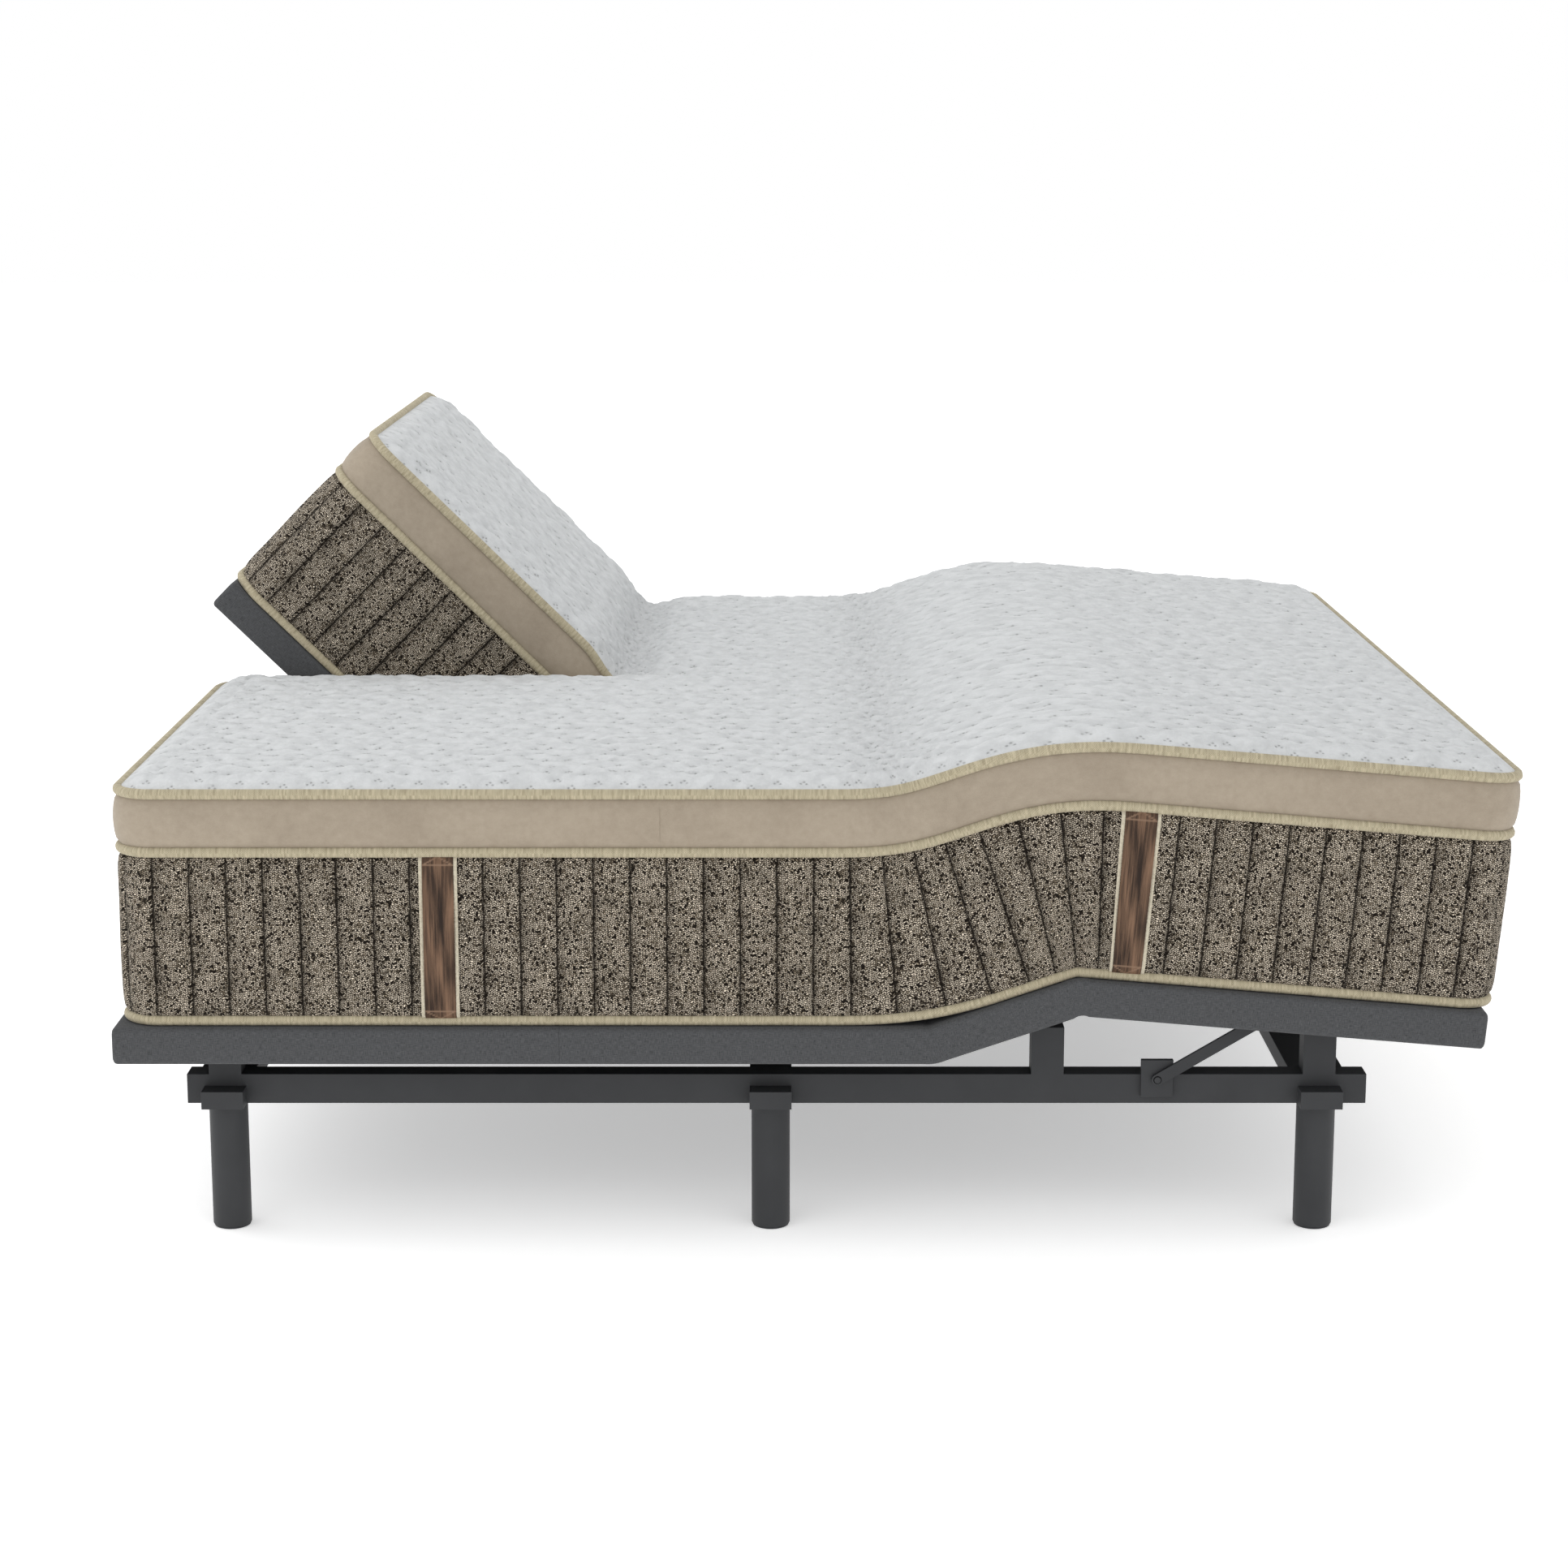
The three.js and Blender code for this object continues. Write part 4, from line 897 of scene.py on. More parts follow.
@dataclass
class QuiltTile:
    """One repeat of the quilting, blown up between its stitches as cloth."""

    size: float = 260 * MM
    cells: int = 46
    margin: int = 8
    puff: float = 8 * MM
    cap: float = 9 * MM
    frames: int = 20
    tuft: float = 5 * MM

    def __post_init__(self) -> None:
        """Chooses the stitches and raises the cloth between them."""
        self.cell = self.size / self.cells
        self.tufts = Tufts(self.size).places()
        self.arcs = [(0.31, 0.22, 0.11), (0.78, 0.47, 0.10), (0.18, 0.70, 0.12), (0.62, 0.90, 0.09)]
        self.relief = self.blown()
        span = float(self.relief.max() - self.relief.min())
        self.relief = (self.relief - self.relief.min()) * (self.puff / span)

    def stitched(self, x: Points, y: Points) -> Points:
        """How firmly each place is stitched down, from 0 to 1."""
        hold = np.zeros_like(x)
        for tuft_x, tuft_y in self.tufts:
            away = np.hypot(self.wrapped(x - tuft_x), self.wrapped(y - tuft_y))
            hold = np.maximum(hold, np.exp(-((away / self.tuft) ** 2)))
        return hold

    def curved(self, x: Points, y: Points) -> Points:
        """How close each place is to one of the curved stitch lines, from 0 to 1."""
        hold = np.zeros_like(x)
        for centre_x, centre_y, radius in self.arcs:
            dx = self.wrapped(x - centre_x * self.size)
            dy = self.wrapped(y - centre_y * self.size) * 1.8
            off = np.abs(np.hypot(dx, dy) - radius * self.size)
            hold = np.maximum(hold, np.exp(-((off / (3.2 * MM)) ** 2)) * (dy < 0))
        return hold

    def wrapped(self, distance: Points) -> Points:
        """A distance to the nearest copy of a repeating thing."""
        return (distance + self.size / 2) % self.size - self.size / 2

    def drawn(self) -> Points:
        """A quick stand-in for the blown cloth, while other pieces are worked on."""
        x, y = np.meshgrid(*[np.arange(self.cells) * self.cell] * 2, indexing="ij")
        return 1.0 - np.maximum(self.stitched(x, y), 0.5 * self.curved(x, y))

    def blown(self) -> Points:
        """Blows a cloth up between the stitches and reads its heights.

        Returns:
            One repeat of heights, by column and row.
        """
        count = self.cells + 2 * self.margin
        bm = unit_grid(count, count)
        reshape(bm, lambda p: p * count * self.cell - np.array([1, 1, 0]) * self.margin * self.cell)
        places = np.array([v.co for v in bm.verts])
        mesh = bpy.data.meshes.new("quilt_tile")
        bm.to_mesh(mesh)
        bm.free()
        cloth = bpy.data.objects.new("quilt_tile", mesh)
        bpy.context.scene.collection.objects.link(cloth)
        hold = np.maximum(self.stitched(places[:, 0], places[:, 1]),
                          0.7 * self.curved(places[:, 0], places[:, 1]))
        rim = np.abs(places[:, :2] - self.size / 2).max(axis=1) > (count / 2 - 0.5) * self.cell
        group = cloth.vertex_groups.new(name="stitches")
        for index in np.flatnonzero((hold > 0.45) | rim):
            group.add([int(index)], 1.0, "REPLACE")
        modifier = cloth.modifiers.new("blow", "CLOTH")
        settings = modifier.settings
        settings.vertex_group_mass = "stitches"
        settings.use_pressure = True
        settings.uniform_pressure_force = 14.0
        settings.effector_weights.gravity = 0.0
        settings.quality = 5
        settings.mass = 0.15
        settings.bending_stiffness = 0.04
        settings.shrink_min = -0.045
        modifier.point_cache.frame_end = self.frames
        scene = bpy.context.scene
        for number in range(1, self.frames + 1):
            scene.frame_set(number)
        shape = cloth.evaluated_get(bpy.context.evaluated_depsgraph_get())
        heights = np.array([v.co.z for v in shape.data.vertices])
        scene.frame_set(1)
        bpy.data.objects.remove(cloth)
        grid = np.round((places[:, :2]) / self.cell).astype(int)
        relief = np.zeros((self.cells, self.cells))
        inside = ((grid >= 0) & (grid < self.cells)).all(axis=1)
        relief[grid[inside, 0], grid[inside, 1]] = np.clip(heights[inside], 0.0, self.cap)
        return relief

    def height(self, x: Points, y: Points) -> Points:
        """The quilting's height at any flat place, read between the cells."""
        gx, gy = x / self.cell, y / self.cell
        ix, iy = np.floor(gx).astype(int), np.floor(gy).astype(int)
        fx, fy = gx - ix, gy - iy
        n = self.cells
        low = self.relief[ix % n, iy % n] * (1 - fx) + self.relief[(ix + 1) % n, iy % n] * fx
        high = (self.relief[ix % n, (iy + 1) % n] * (1 - fx)
                + self.relief[(ix + 1) % n, (iy + 1) % n] * fx)
        return low * (1 - fy) + high * fy


@dataclass
class Mattress:
    """The split-top mattress: quilted top, suede and looped bands, piping and handles."""

    form: Bedform
    finishes: Finishes
    tile: QuiltTile
    side_inset: float = 13 * MM
    split: float = 8 * MM
    base_z: float = 333 * MM
    lower_z: tuple[float, float] = (344 * MM, 588 * MM)
    upper_z: tuple[float, float] = (597 * MM, 674 * MM)
    pipings: dict[str, tuple[float, float]] = field(default_factory=lambda: {
        "bottom": (339.4 * MM, -6.5 * MM), "middle": (592.5 * MM, -4 * MM),
        "top": (678.5 * MM, -3.5 * MM)})
    piping_radius: float = 7.6 * MM
    quilt_inset: float = 7 * MM
    quilt_edge_z: float = 682 * MM
    crown: float = 16 * MM
    crown_reach: float = 20 * MM
    border_at: float = 50 * MM
    border_depth: float = 2.6 * MM
    rib_depth: float = 8 * MM
    rib_columns: int = 12
    cover_thickness: float = 8 * MM
    piping_step: float = 6 * MM

    def __post_init__(self) -> None:
        """Works out where the mattress's sides are."""
        self.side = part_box("seat_deck")[1].y - self.side_inset
        self.cut = self.split / 2

    def span(self, section: Section) -> tuple[float, float, float, float]:
        """A section's flat extent: from and to in x, then from and to in y."""
        form = self.form
        if section is Section.NEAR_HEAD:
            return form.mattress_head, form.split_end, -self.side, -self.cut
        if section is Section.FAR_HEAD:
            return form.mattress_head - form.far_creep, form.split_end, self.cut, self.side
        if section is Section.SEAT:
            return form.split_end, form.crest, -self.side, self.side
        return form.crest, form.mattress_foot, -self.side, self.side

    def outlines(self, section: Section) -> list[Outline]:
        """The runs round a section's outer edges, right-hand side outwards."""
        x0, x1, y0, y1 = self.span(section)
        if section.is_head:
            return [Outline([(x1, y1), (x0, y1), (x0, y0), (x1, y0)])]
        if section is Section.SEAT:
            return [Outline([(x0, y0), (x1, y0)]), Outline([(x1, y1), (x0, y1)])]
        return [Outline([(x0, y0), (x1, y0), (x1, y1), (x0, y1)])]

    def build(self) -> list[bpy.types.Object]:
        """Makes every section and the handles."""
        made = []
        for section in Section:
            quilt = self.quilt(section)
            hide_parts(*self.stands_for(section))
            made += [quilt, self.underside(section)]
            made += [self.band(section, "suede_band", self.upper_z, self.suede_offset,
                               self.finishes.suede, 8)]
            made += [self.band(section, "boucle_band", self.lower_z, self.boucle_offset,
                               self.finishes.boucle, 24)]
            made += [self.piping(section, name, *place) for name, place in self.pipings.items()]
        return made + self.handles()

    def stands_for(self, section: Section) -> list[str]:
        """The plain solids that a section takes the place of."""
        return {
            Section.NEAR_HEAD: ["mattress_head_near", "mattress_head_fold_near"],
            Section.FAR_HEAD: ["mattress_head_far", "mattress_head_fold_far"],
            Section.SEAT: ["mattress_seat", "mattress_hip_fold", "mattress_thigh"],
            Section.FOOT: ["mattress_knee_fold", "mattress_foot"],
        }[section]

    def fold(self, piece: bpy.types.Object, section: Section) -> bpy.types.Object:
        """Folds a flat piece of the mattress to rest."""
        flat = flat_points(piece)
        shares = self.form.share(flat[:, 0], section)
        fold_piece(piece, self.form.lay(flat, section))
        return piece

    def rounded(self, flat: Points, section: Section) -> Points:
        """Rounds the plan corners of a rectangular sheet where the section has them."""
        x0, x1, y0, y1 = self.span(section)
        inset = self.quilt_inset
        radius = Outline([(0.0, 0.0), (1.0, 0.0)]).radius - inset
        ends = [(x0 + inset, -1.0)] if section.is_head else []
        ends += [(x1 - inset, 1.0)] if section is Section.FOOT else []
        moved = flat.copy()
        for end, way in ends:
            for edge, side in ((y0 + inset, -1.0), (y1 - inset, 1.0)):
                a = (moved[:, 0] - (end - way * radius)) * way
                b = (moved[:, 1] - (edge - side * radius)) * side
                corner = (a > 0) & (b > 0)
                reach = np.maximum(a, b)
                scale = np.where(corner, reach / np.maximum(np.hypot(a, b), 1e-9), 1.0)
                moved[:, 0] = np.where(corner, end - way * radius + way * a * scale, moved[:, 0])
                moved[:, 1] = np.where(corner, edge - side * radius + side * b * scale, moved[:, 1])
        return moved

    def edge_distance(self, flat: Points, section: Section) -> Points:
        """How far each place is inside the section's sewn edges."""
        x0, x1, y0, y1 = self.span(section)
        inset = self.quilt_inset
        near, far = flat[:, 1] - (y0 + inset), (y1 - inset) - flat[:, 1]
        sides = np.minimum(near, far)
        if section is Section.SEAT:
            slit = np.hypot(flat[:, 0] - x0, np.maximum(np.abs(flat[:, 1]) - self.cut - inset, 0.0))
            return np.minimum(sides, slit)
        end = flat[:, 0] - (x0 + inset) if section.is_head else (x1 - inset) - flat[:, 0]
        radius = Outline([(0.0, 0.0), (1.0, 0.0)]).radius - inset
        corner = radius - np.hypot(radius - np.minimum(end, radius), radius - np.minimum(sides, radius))
        return np.where((end < radius) & (sides < radius), corner, np.minimum(end, sides))

    def quilt(self, section: Section) -> bpy.types.Object:
        """The quilted top of a section, crowned and puffed between its stitches."""
        x0, x1, y0, y1 = self.span(section)
        inset, cell = self.quilt_inset, self.tile.cell
        low = x0 + inset if section.is_head else x0
        high = x1 - inset if section is Section.FOOT else x1
        bm = unit_grid(round((high - low) / cell), round((y1 - y0 - 2 * inset) / cell))
        size = np.array([high - low, y1 - y0 - 2 * inset, 0.0])
        corner = np.array([low, y0 + inset, 0.0])
        reshape(bm, lambda p: self.rounded(corner + p * size, section))
        map_cloth(bm, lambda place, normal: (place.x, place.y))
        bmesh.ops.solidify(bm, geom=bm.faces[:], thickness=self.cover_thickness)
        crease(bm, 70.0)
        piece = to_object(f"mattress_{section.label}_quilt", bm, self.finishes.quilting)
        flat = flat_points(piece)
        inside = np.maximum(self.edge_distance(flat, section), 0.0)
        fade = smooth(inside / (36 * MM))
        crown = self.crown * (1.0 - np.exp(-inside / self.crown_reach))
        groove = self.border_depth * np.exp(-(((inside - self.border_at) / (4 * MM)) ** 2))
        relief = self.tile.height(flat[:, 0], flat[:, 1]) * fade
        flat[:, 2] += self.quilt_edge_z + crown + relief - groove
        # The stitched attribute also drives the quilting's painted shade in the dimples round the tufts.
        hold = self.tile.stitched(flat[:, 0], flat[:, 1]) * fade
        stitched = piece.data.attributes.new("stitched", "FLOAT", "POINT")
        stitched.data.foreach_set("value", (0.9 * hold).astype(np.float32))
        piece.data.vertices.foreach_set("co", flat.ravel())
        return self.fold(piece, section)

    def underside(self, section: Section) -> bpy.types.Object:
        """The plain cloth under a section."""
        x0, x1, y0, y1 = self.span(section)
        inset = self.quilt_inset
        low = x0 + inset if section.is_head else x0
        high = x1 - inset if section is Section.FOOT else x1
        bm = unit_grid(round((high - low) / (15 * MM)), round((y1 - y0) / (30 * MM)))
        size = np.array([high - low, y1 - y0 - 2 * inset, 0.0])
        corner = np.array([low, y0 + inset, self.base_z + self.cover_thickness])
        reshape(bm, lambda p: self.rounded(corner + p * size, section))
        bmesh.ops.solidify(bm, geom=bm.faces[:], thickness=self.cover_thickness)
        map_cloth(bm, box_map)
        crease(bm, 50.0)
        piece = to_object(f"mattress_{section.label}_underside", bm, self.finishes.linen)
        return self.fold(piece, section)

    def suede_offset(self, ribs: Points, share: Points) -> Points:
        """The suede's swell: full between the pipings, with slow waves along it."""
        swell = np.sqrt(np.clip(4.0 * share * (1.0 - share), 0.0, 1.0))
        waves = 0.8 * MM * np.sin(ribs * 1.9) * np.sin(ribs * 0.73 + 1.0)
        return -5 * MM + (9.5 * MM + waves) * swell

    def boucle_offset(self, ribs: Points, share: Points) -> Points:
        """The looped band's swell, drawn in at each sewn rib."""
        tuck = 1.0 - np.exp(-np.minimum(share, 1.0 - share) / 0.035)
        place = ribs - np.floor(ribs)
        rib = (place + 1e-6) ** 0.5 * (1.0 - place + 1e-6) ** 0.09
        pillow = 1.0 + 0.08 * np.sin(share * 9.0 + np.floor(ribs) * 2.1)
        return -6 * MM + tuck * (2.2 * MM + self.rib_depth * rib * pillow)

    def band(self, section: Section, name: str, heights: tuple[float, float],
             offset: Callable[[Points, Points], Points], material: bpy.types.Material,
             rows: int) -> bpy.types.Object:
        """A band of cloth round a section's sides.

        Args:
            section: The section that it goes round.
            name: What the band is called.
            heights: Its lowest and highest flat z.
            offset: Its outward offset from the rib count and the share of its height.
            material: Its cloth.
            rows: Faces up its height.

        Returns:
            The folded band.
        """
        bands = [self.strip(run, heights, offset, rows) for run in self.outlines(section)]
        bm = bands[0]
        for other in bands[1:]:
            spare = bpy.data.meshes.new("spare")
            other.to_mesh(spare)
            other.free()
            bm.from_mesh(spare)
            bpy.data.meshes.remove(spare)
        crease(bm, 75.0)
        piece = to_object(f"mattress_{section.label}_{name}", bm, material)
        return self.fold(piece, section)

    def strip(self, run: Outline, heights: tuple[float, float],
              offset: Callable[[Points, Points], Points], rows: int) -> bmesh.types.BMesh:
        """One run of a band as a closed slab, mapped along its ribs, with a column on every seam."""
        steps = run.steps(self.rib_columns)
        rise = heights[1] - heights[0]
        bm = unit_grid(len(steps) - 1, rows)
        bmesh.ops.solidify(bm, geom=bm.faces[:], thickness=self.cover_thickness)
        layer = bm.loops.layers.uv.new("cloth")
        bm.verts.index_update()
        shares = np.array([v.co for v in bm.verts])
        along = steps[np.rint(shares[:, 0] * (len(steps) - 1)).astype(int)]
        ribs = run.ribs(along)
        for face in bm.faces:
            for loop in face.loops:
                index = loop.vert.index
                loop[layer].uv = (ribs[index] * run.pitch, heights[0] + shares[index, 1] * rise)
        places, normals = run.along(along)
        out = places + normals * (offset(ribs, shares[:, 1]) + shares[:, 2])[:, None]
        reshape(bm, lambda p: np.column_stack([out, heights[0] + shares[:, 1] * rise]))
        return bm

    def piping(self, section: Section, name: str, height: float,
               set_out: float) -> bpy.types.Object:
        """A corded edge round a section at one height, its middle set out by a little."""
        whole = bmesh.new()
        layer_name = "cloth"
        for run in self.outlines(section):
            count = round(run.length / self.piping_step)
            shares = np.linspace(0.0, 1.0, count + 1)
            places, normals = run.along(shares)
            turns = np.linspace(0.0, 2 * math.pi, 14, endpoint=False)
            rings = []
            for place, normal in zip(places, normals):
                out = set_out + self.piping_radius * np.cos(turns)
                ring = np.column_stack([place + normal * out[:, None],
                                        height + self.piping_radius * np.sin(turns)])
                rings.append(ring)
            tube = loft(rings)
            tube.verts.ensure_lookup_table()
            layer = tube.loops.layers.uv.new(layer_name)
            girth = 2 * math.pi * self.piping_radius / len(turns)
            for face in tube.faces:
                steps = [loop.vert.index % len(turns) for loop in face.loops]
                wraps = max(steps) - min(steps) > len(turns) / 2 and len(face.verts) == 4
                for loop, step in zip(face.loops, steps):
                    lap = len(turns) if wraps and step == 0 else 0
                    travel = loop.vert.index // len(turns) * run.length / count
                    loop[layer].uv = (travel, (step + lap) * girth)
            spare = bpy.data.meshes.new("spare")
            tube.to_mesh(spare)
            tube.free()
            whole.from_mesh(spare)
            bpy.data.meshes.remove(spare)
        crease(whole, 60.0)
        piece = to_object(f"mattress_{section.label}_{name}_piping", whole, self.finishes.piping)
        return self.fold(piece, section)

    def handles(self) -> list[bpy.types.Object]:
        """The strap handles, two on each long side."""
        head_x = -541 * MM
        foot_x = self.form.hip_x + 307 * MM
        sides = [("near", Section.NEAR_HEAD, -1.0), ("far", Section.FAR_HEAD, 1.0)]
        made = []
        for name, head, sign in sides:
            made += self.handle(f"{name}_head", head, head_x, sign)
            made += self.handle(f"{name}_foot", Section.FOOT, foot_x, sign)
        return made

    def handle(self, name: str, section: Section, x: float, sign: float) -> list[bpy.types.Object]:
        """A woven strap between two tapes, sewn down at its ends."""
        strap = self.webbing(x, sign, 45 * MM, 5.5 * MM, 4.5 * MM)
        pieces = [to_object(f"handle_{name}_strap", strap, self.finishes.webbing)]
        tapes = bmesh.new()
        for side in (-1, 1):
            tape = self.webbing(x + side * 25.4 * MM, sign, 5 * MM, 4.6 * MM, 0.0)
            spare = bpy.data.meshes.new("spare")
            tape.to_mesh(spare)
            tape.free()
            tapes.from_mesh(spare)
            bpy.data.meshes.remove(spare)
        pieces.append(to_object(f"handle_{name}_tapes", tapes, self.finishes.tape))
        return [self.fold(piece, section) for piece in pieces]

    def webbing(self, x: float, sign: float, width: float, proud: float,
                bow: float) -> bmesh.types.BMesh:
        """A flat strip up the mattress's side, bowed out along its middle.

        Args:
            x: Its middle.
            sign: -1 on the near side, 1 on the far side.
            width: Its width.
            proud: How far it stands off the ribs.
            bow: How much more it stands off half-way up.

        Returns:
            The closed strip, mapped in metres, with its stitching marked.
        """
        low, high = self.lower_z
        rise = high - low
        bm = unit_grid(24, 120)
        stitches = bm.verts.layers.float.new("stitched")
        layer = bm.loops.layers.uv.new("cloth")
        for face in bm.faces:
            for loop in face.loops:
                loop[layer].uv = (loop.vert.co.x * width, loop.vert.co.y * rise)
        for vertex in bm.verts:
            u, v = vertex.co.x, min(vertex.co.y, 1.0 - vertex.co.y) * rise
            line = abs(v - 13 * MM) < 1.1 * MM
            peak = abs(v - 13 * MM * 2 * abs(u - 0.5)) < 1.1 * MM and v < 13 * MM
            vertex[stitches] = 0.8 if (line or peak) and width > 20 * MM else 0.0

        def stand(p: Points) -> Points:
            share, up = p[:, 0] - 0.5, p[:, 1]
            swell = np.sin(np.clip((up - 0.09) / 0.82, 0.0, 1.0) * math.pi)
            tuck = np.exp(-np.minimum(up, 1.0 - up) / 0.02)
            crowned = 1.0 - (2 * share) ** 4 * 0.5
            rounding = 0.5 * MM * (1.0 - (2 * share) ** 2)
            ripple = 0.8 * MM * np.sin(up * 11.0 + share * 2.0) * swell
            out = proud + rounding + bow * swell * crowned + ripple * (bow > 0) - 7 * MM * tuck
            y = sign * (self.side + out + p[:, 2])
            return np.column_stack([x - sign * share * width, y, low + up * rise])

        bmesh.ops.solidify(bm, geom=bm.faces[:], thickness=2.4 * MM)
        reshape(bm, stand)
        crease(bm, 50.0)
        return bm


# ---- Deck -----------------------------------------------------------------------------------


@dataclass
class DeckCovers:
    """The upholstered deck panels, with linen carried over the hip and the knee."""

    form: Bedform
    finishes: Finishes
    skirt: float = 16 * MM
    board: float = 17.6 * MM
    rounding: float = 7 * MM
    seam: float = 0.3 * MM
    arc_steps: int = 4

    def __post_init__(self) -> None:
        """Reads the panels' heights and widths."""
        low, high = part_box("seat_deck")
        self.low, self.top, self.side = low.z, high.z, high.y
        self.seat_from = low.x

    def build(self) -> list[bpy.types.Object]:
        """Makes the two head panels, the seat cover and the foot cover."""
        made = []
        for side in ("near", "far"):
            section = Section.NEAR_HEAD if side == "near" else Section.FAR_HEAD
            low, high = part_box("head_deck_near")
            high.x = self.seat_from - self.seam
            edges = (low.y, high.y) if side == "near" else (-high.y, -low.y)
            bm = loft(self.rings(low.x, high.x, edges, round_start=True))
            piece = self.piece(f"deck_head_{side}_cover", bm)
            flat = flat_points(piece)
            lift = np.full(len(flat), self.form.rest_lift(section))
            laid = turned(flat, (self.form.head_x, self.form.head_z), lift)
            piece.data.vertices.foreach_set("co", laid.ravel())
            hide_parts(f"head_deck_{side}")
            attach(piece, section.value[1])
            made.append(piece)
        edges = (-self.side, self.side)
        seat = loft(self.rings(self.seat_from, self.form.cover_crest, edges))
        foot = loft(self.rings(self.form.cover_crest, self.form.foot_end, edges, round_end=True))
        for name, bm, section, nodes in (
            ("deck_seat_cover", seat, Section.SEAT, ("seat_deck", "thigh_deck")),
            ("deck_foot_cover", foot, Section.FOOT, ("foot_deck",)),
        ):
            piece = self.piece(name, bm)
            flat = flat_points(piece)
            shares = self.form.cover_share(flat[:, 0], section)
            laid = self.form.lay_cover(flat, section)
            fold_piece(piece, laid)
            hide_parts(*nodes)
            made.append(piece)
        return made

    def piece(self, name: str, bm: bmesh.types.BMesh) -> bpy.types.Object:
        """Maps a cover and makes it a piece."""
        map_cloth(bm, box_map)
        crease(bm, 45.0)
        return to_object(name, bm, self.finishes.linen)

    def stations(self, start: float, end: float) -> list[float]:
        """The x places of a cover's rings: close together only where it bends."""
        form = self.form
        bends = [(form.hip_x, form.hip_cover_bend), (form.knee_x, form.knee_cover_bend)]
        places = [start, end]
        for centre, length in bends:
            places += [centre + length * (i / 6 - 0.5) for i in range(7)]
        return sorted(x for x in places if start <= x <= end)

    def rings(self, start: float, end: float, edges: tuple[float, float],
              round_start: bool = False, round_end: bool = False) -> list[Points]:
        """A cover's cross-sections along x, closed with a skirt at each rounded end."""
        soft = [self.rounding * (1 - math.cos(i / self.arc_steps * math.pi / 2))
                for i in range(self.arc_steps + 1)]
        inset = [self.rounding * (1 - math.sin(i / self.arc_steps * math.pi / 2))
                 for i in range(self.arc_steps + 1)]
        rings = []
        if round_start:
            rings += [self.ring(start + a, edges, b, True) for a, b in zip(soft, inset)]
            rings += [self.ring(start + self.skirt, edges, 0.0, True)]
            rings += [self.ring(start + self.skirt + 0.1 * MM, edges, 0.0, False)]
        places = self.stations(start, end)
        inner = places[1:] if round_start else places
        inner = inner[:-1] if round_end else inner
        rings += [self.ring(x, edges, 0.0, False) for x in inner]
        if round_end:
            rings += [self.ring(end - self.skirt - 0.1 * MM, edges, 0.0, False)]
            rings += [self.ring(end - self.skirt, edges, 0.0, True)]
            rings += [self.ring(end - a, edges, b, True)
                      for a, b in zip(reversed(soft), reversed(inset))]
        return rings

    def ring(self, x: float, edges: tuple[float, float], inset: float, filled: bool) -> Points:
        """One cross-section: a rounded board over two skirts, or a filled end."""
        y0, y1 = edges[0] + inset, edges[1] - inset
        low, top = self.low + inset, self.top - inset
        r = self.rounding
        turns = [i / self.arc_steps * math.pi / 2 for i in range(self.arc_steps + 1)]
        points = []
        for cy, cz, first in ((y1 - r, low + r, -0.5), (y1 - r, top - r, 0.0),
                              (y0 + r, top - r, 0.5), (y0 + r, low + r, 1.0)):
            points += [(cy + r * math.cos(t + first * math.pi), cz + r * math.sin(t + first * math.pi))
                       for t in turns]
        roof = low if filled else self.top - self.board
        points += [(y0 + self.skirt, low), (y0 + self.skirt, roof),
                   (y1 - self.skirt, roof), (y1 - self.skirt, low)]
        return np.array([(x, y, z) for y, z in points])


# ---- Steelwork ------------------------------------------------------------------------------


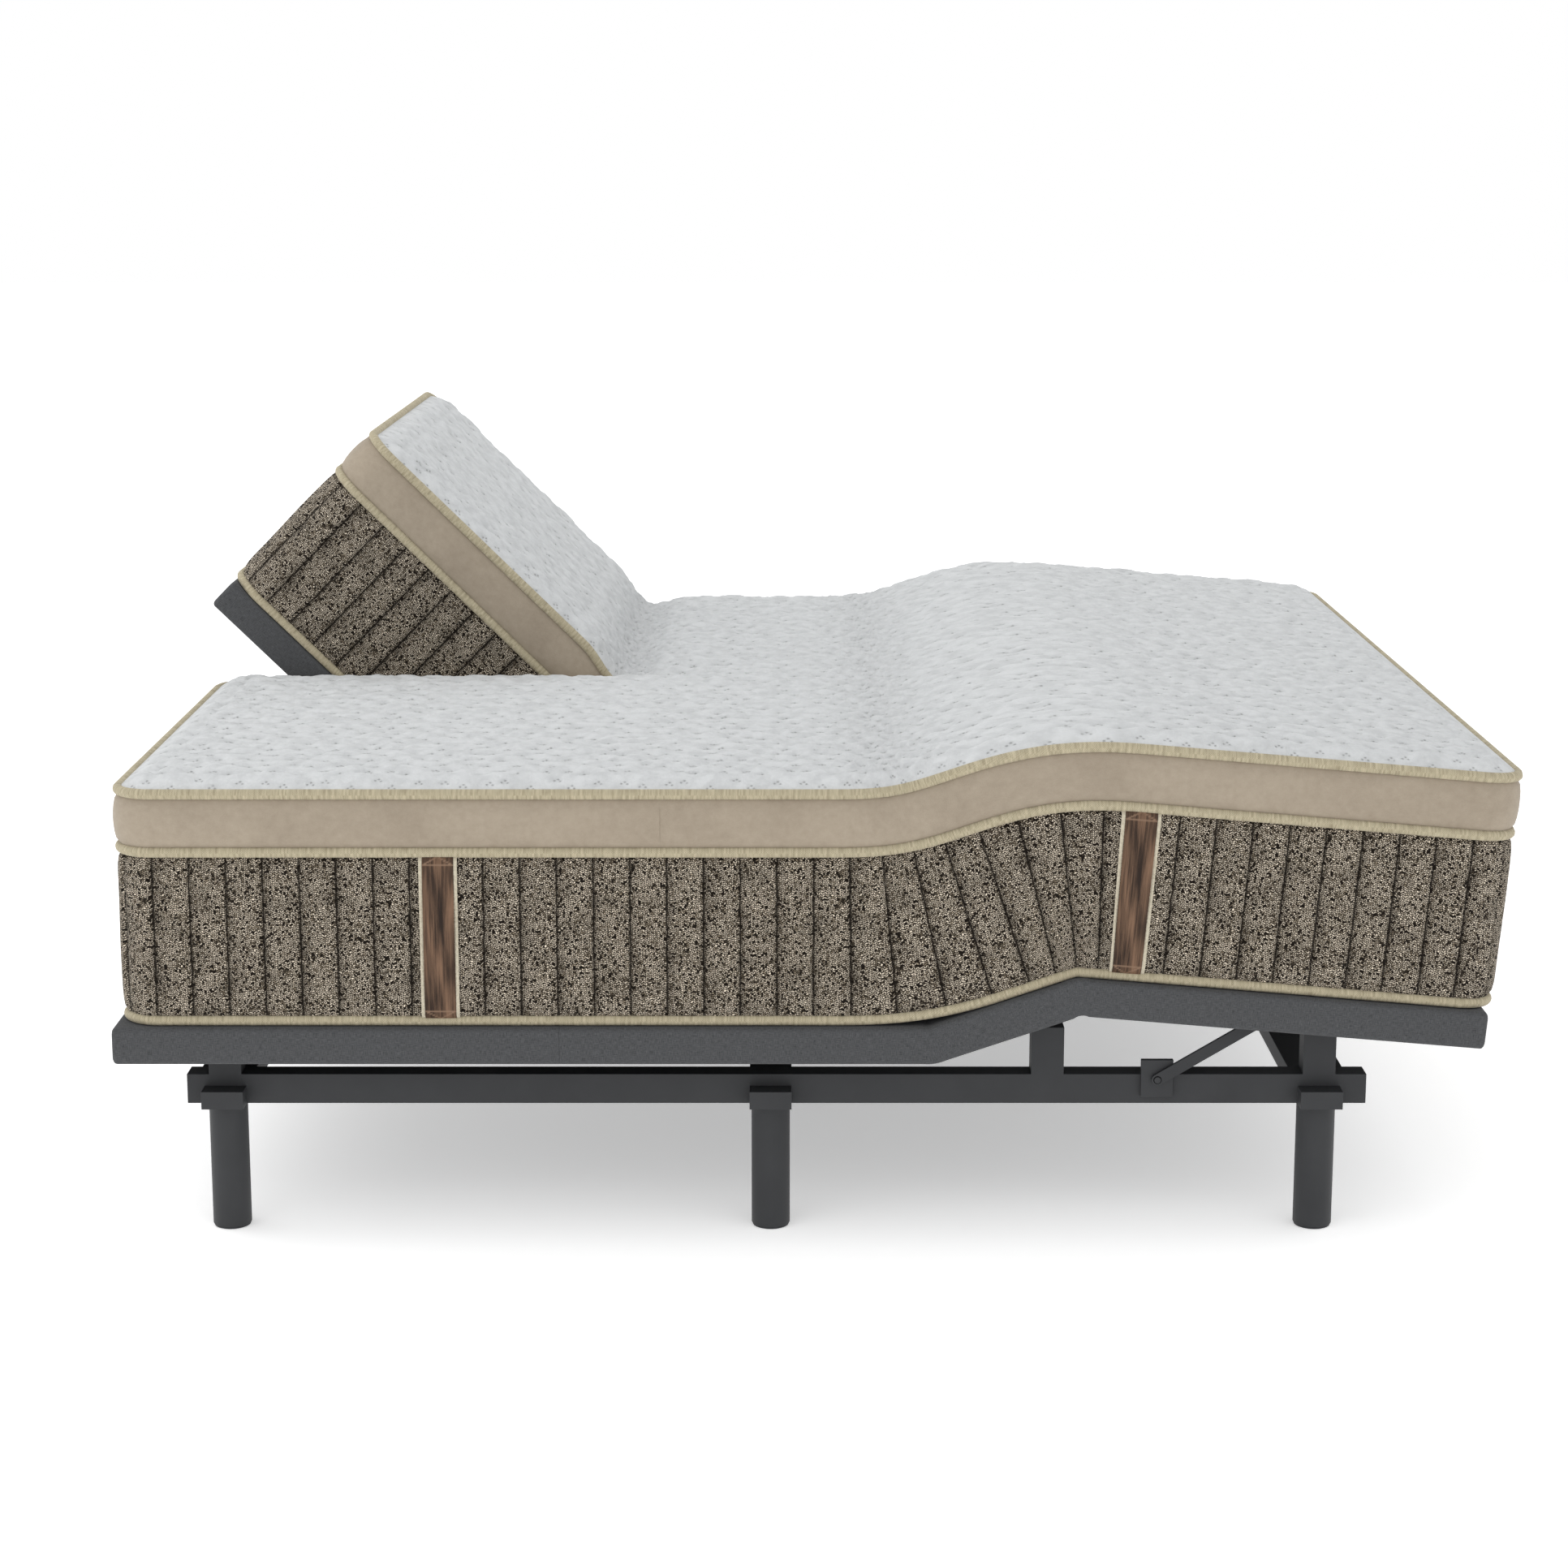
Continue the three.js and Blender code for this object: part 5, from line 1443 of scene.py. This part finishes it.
@dataclass
class Steelwork:
    """The underframe and drive, with softened edges and turned round parts."""

    finishes: Finishes
    edge: float = 1.2 * MM
    leg_sides: int = 72

    def build(self) -> list[bpy.types.Object]:
        """Refines every hard node of the frame."""
        slots = {
            "steel": (self.finishes.steel, Slot.STEEL),
            "plastic": (self.finishes.plastic, Slot.PLASTIC),
            "bright": (self.finishes.bright, Slot.BRIGHT),
            "nylon": (self.finishes.nylon, Slot.NYLON),
        }
        made = []
        for name in sorted(frame["nodes"]):
            if name.startswith("mattress") or name.endswith("_deck") or name.startswith("head_deck"):
                continue
            kind = "steel"
            if "rod" in name:
                kind = "bright"
            elif "tube" in name or "motor" in name or name == "control_box":
                kind = "plastic"
            elif "shoe" in name:
                kind = "nylon"
            material, slot = slots[kind]
            if name.startswith("leg_"):
                made += self.leg(name)
            else:
                made.append(self.refined(name, material))
        return made

    def refined(self, node: str, material: bpy.types.Material) -> bpy.types.Object:
        """A copy of a node with merged corners and softened edges."""
        bm = bmesh.new()
        bm.from_mesh(frame["nodes"][node].data)
        bmesh.ops.remove_doubles(bm, verts=bm.verts[:], dist=0.01 * MM)
        bmesh.ops.dissolve_limit(bm, angle_limit=math.radians(1.0), verts=bm.verts[:],
                                 edges=bm.edges[:])
        crease(bm, 40.0)
        piece = to_object(f"{node}_body", bm, material)
        bevel = piece.modifiers.new("edge", "BEVEL")
        bevel.width = self.edge
        bevel.segments = 2
        bevel.limit_method = "ANGLE"
        bevel.angle_limit = math.radians(40.0)
        bevel.harden_normals = True
        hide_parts(node)
        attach(piece, frame["nodes"][node]["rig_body"])
        return piece

    def leg(self, node: str) -> list[bpy.types.Object]:
        """A turned leg tube standing on a plastic glide."""
        low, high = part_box(node)
        centre = (low + high) / 2
        radius = (high.x - low.x) / 2
        glide = 4 * MM
        r = 1.2 * MM
        tube = [(radius - r, glide), (radius - 0.3 * r, glide + 0.3 * r), (radius, glide + r),
                (radius, high.z), (radius - 3 * MM, high.z), (radius - 3 * MM, glide)]
        foot = [(0.0, 0.0), (radius - 4 * MM, 0.0), (radius - 1.8 * MM, 1.0 * MM),
                (radius - 1.2 * MM, glide - 0.2 * MM), (0.0, glide - 0.2 * MM)]
        made = []
        for name, profile, closed, material, slot in (
            (f"{node}_tube", tube, True, self.finishes.steel, Slot.STEEL),
            (f"{node}_glide", foot, False, self.finishes.plastic, Slot.PLASTIC),
        ):
            bm = self.spun(profile, closed, (centre.x, centre.y))
            made.append(to_object(name, bm, material))
            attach(made[-1], frame["nodes"][node]["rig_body"])
        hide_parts(node)
        return made

    def spun(self, profile: list[tuple[float, float]], closed: bool,
             centre: tuple[float, float]) -> bmesh.types.BMesh:
        """A profile of radius and height spun round an upright line."""
        bm = bmesh.new()
        verts = [bm.verts.new((centre[0] + r, centre[1], z)) for r, z in profile]
        pairs = list(zip(verts, verts[1:])) + ([(verts[-1], verts[0])] if closed else [])
        edges = [bm.edges.new(pair) for pair in pairs]
        bmesh.ops.spin(bm, geom=verts + edges, cent=(*centre, 0.0), axis=(0, 0, 1),
                       angle=2 * math.pi, steps=self.leg_sides, use_merge=True)
        bmesh.ops.remove_doubles(bm, verts=bm.verts[:], dist=0.01 * MM)
        bmesh.ops.recalc_face_normals(bm, faces=bm.faces[:])
        crease(bm, 50.0)
        return bm


# ---- Studio ---------------------------------------------------------------------------------


@dataclass
class Studio:
    """The pale floor, the soft lights and the camera."""

    camera_at: tuple[float, float, float] = (-0.0388, -5.412, 1.611)
    lens: float = 72.47
    pitch: float = 11.61

    def build(self) -> None:
        """Makes the camera, the floor, the sky and the lights."""
        scene = bpy.context.scene
        scene.view_settings.view_transform = "Standard"
        data = bpy.data.cameras.new("camera")
        data.lens = self.lens
        data.sensor_width = 36.0
        camera = bpy.data.objects.new("camera", data)
        camera.location = self.camera_at
        camera.rotation_euler = (math.radians(90.0 - self.pitch), 0.0, 0.0)
        scene.collection.objects.link(camera)
        scene.camera = camera
        self.floor()
        world = bpy.data.worlds.new("sky")
        world.use_nodes = True
        world.node_tree.nodes["Background"].inputs[0].default_value = (1.0, 1.0, 1.0, 1.0)
        world.node_tree.nodes["Background"].inputs[1].default_value = 1.0
        scene.world = world
        self.light("key", (-2.6, -4.2, 3.4), 3.2, 12.0)
        self.light("top", (-3.2, 0.4, 3.6), 3.0, 34.0)

    def floor(self) -> None:
        """A wide pale floor."""
        bm = unit_grid(4, 4)
        reshape(bm, lambda p: (p - np.array([0.5, 0.5, 0.0])) * 60.0)
        work = Shading("pale_floor", 0.9, specular=0.1)
        grain = work.noise(work.solid(), 40.0, 3.0)
        colour = work.ramp(grain, [(0.3, tone(248, 248, 248)), (0.7, tone(252, 252, 252))])
        work.shader.inputs["Emission Color"].default_value = (1.0, 1.0, 1.0, 1.0)
        work.shader.inputs["Emission Strength"].default_value = 0.4
        floor = to_object("floor", bm, work.finish(colour))

    def light(self, name: str, place: tuple[float, float, float], size: float,
              power: float) -> None:
        """A square soft light aimed at the bed's middle."""
        data = bpy.data.lights.new(name, "AREA")
        data.size = size
        data.energy = power
        lamp = bpy.data.objects.new(name, data)
        lamp.location = place
        aim = Vector((0.0, 0.0, 0.45)) - Vector(place)
        lamp.rotation_euler = aim.to_track_quat("-Z", "Y").to_euler()
        bpy.context.scene.collection.objects.link(lamp)


# ---- Assembly -------------------------------------------------------------------------------


def main() -> None:
    """Builds the studio and every sub-assembly, and reports each piece."""
    logging.basicConfig(level=logging.INFO, format="%(message)s")
    Studio().build()
    finishes = Finishes()
    form = Bedform()
    assemblies = [
        Mattress(form, finishes, QuiltTile()),
        DeckCovers(form, finishes),
        Steelwork(finishes),
    ]
    for assembly in assemblies:
        for piece in assembly.build():
            log.info("%s: %d faces", piece.name, len(piece.data.polygons))


if __name__ == "__main__":
    main()
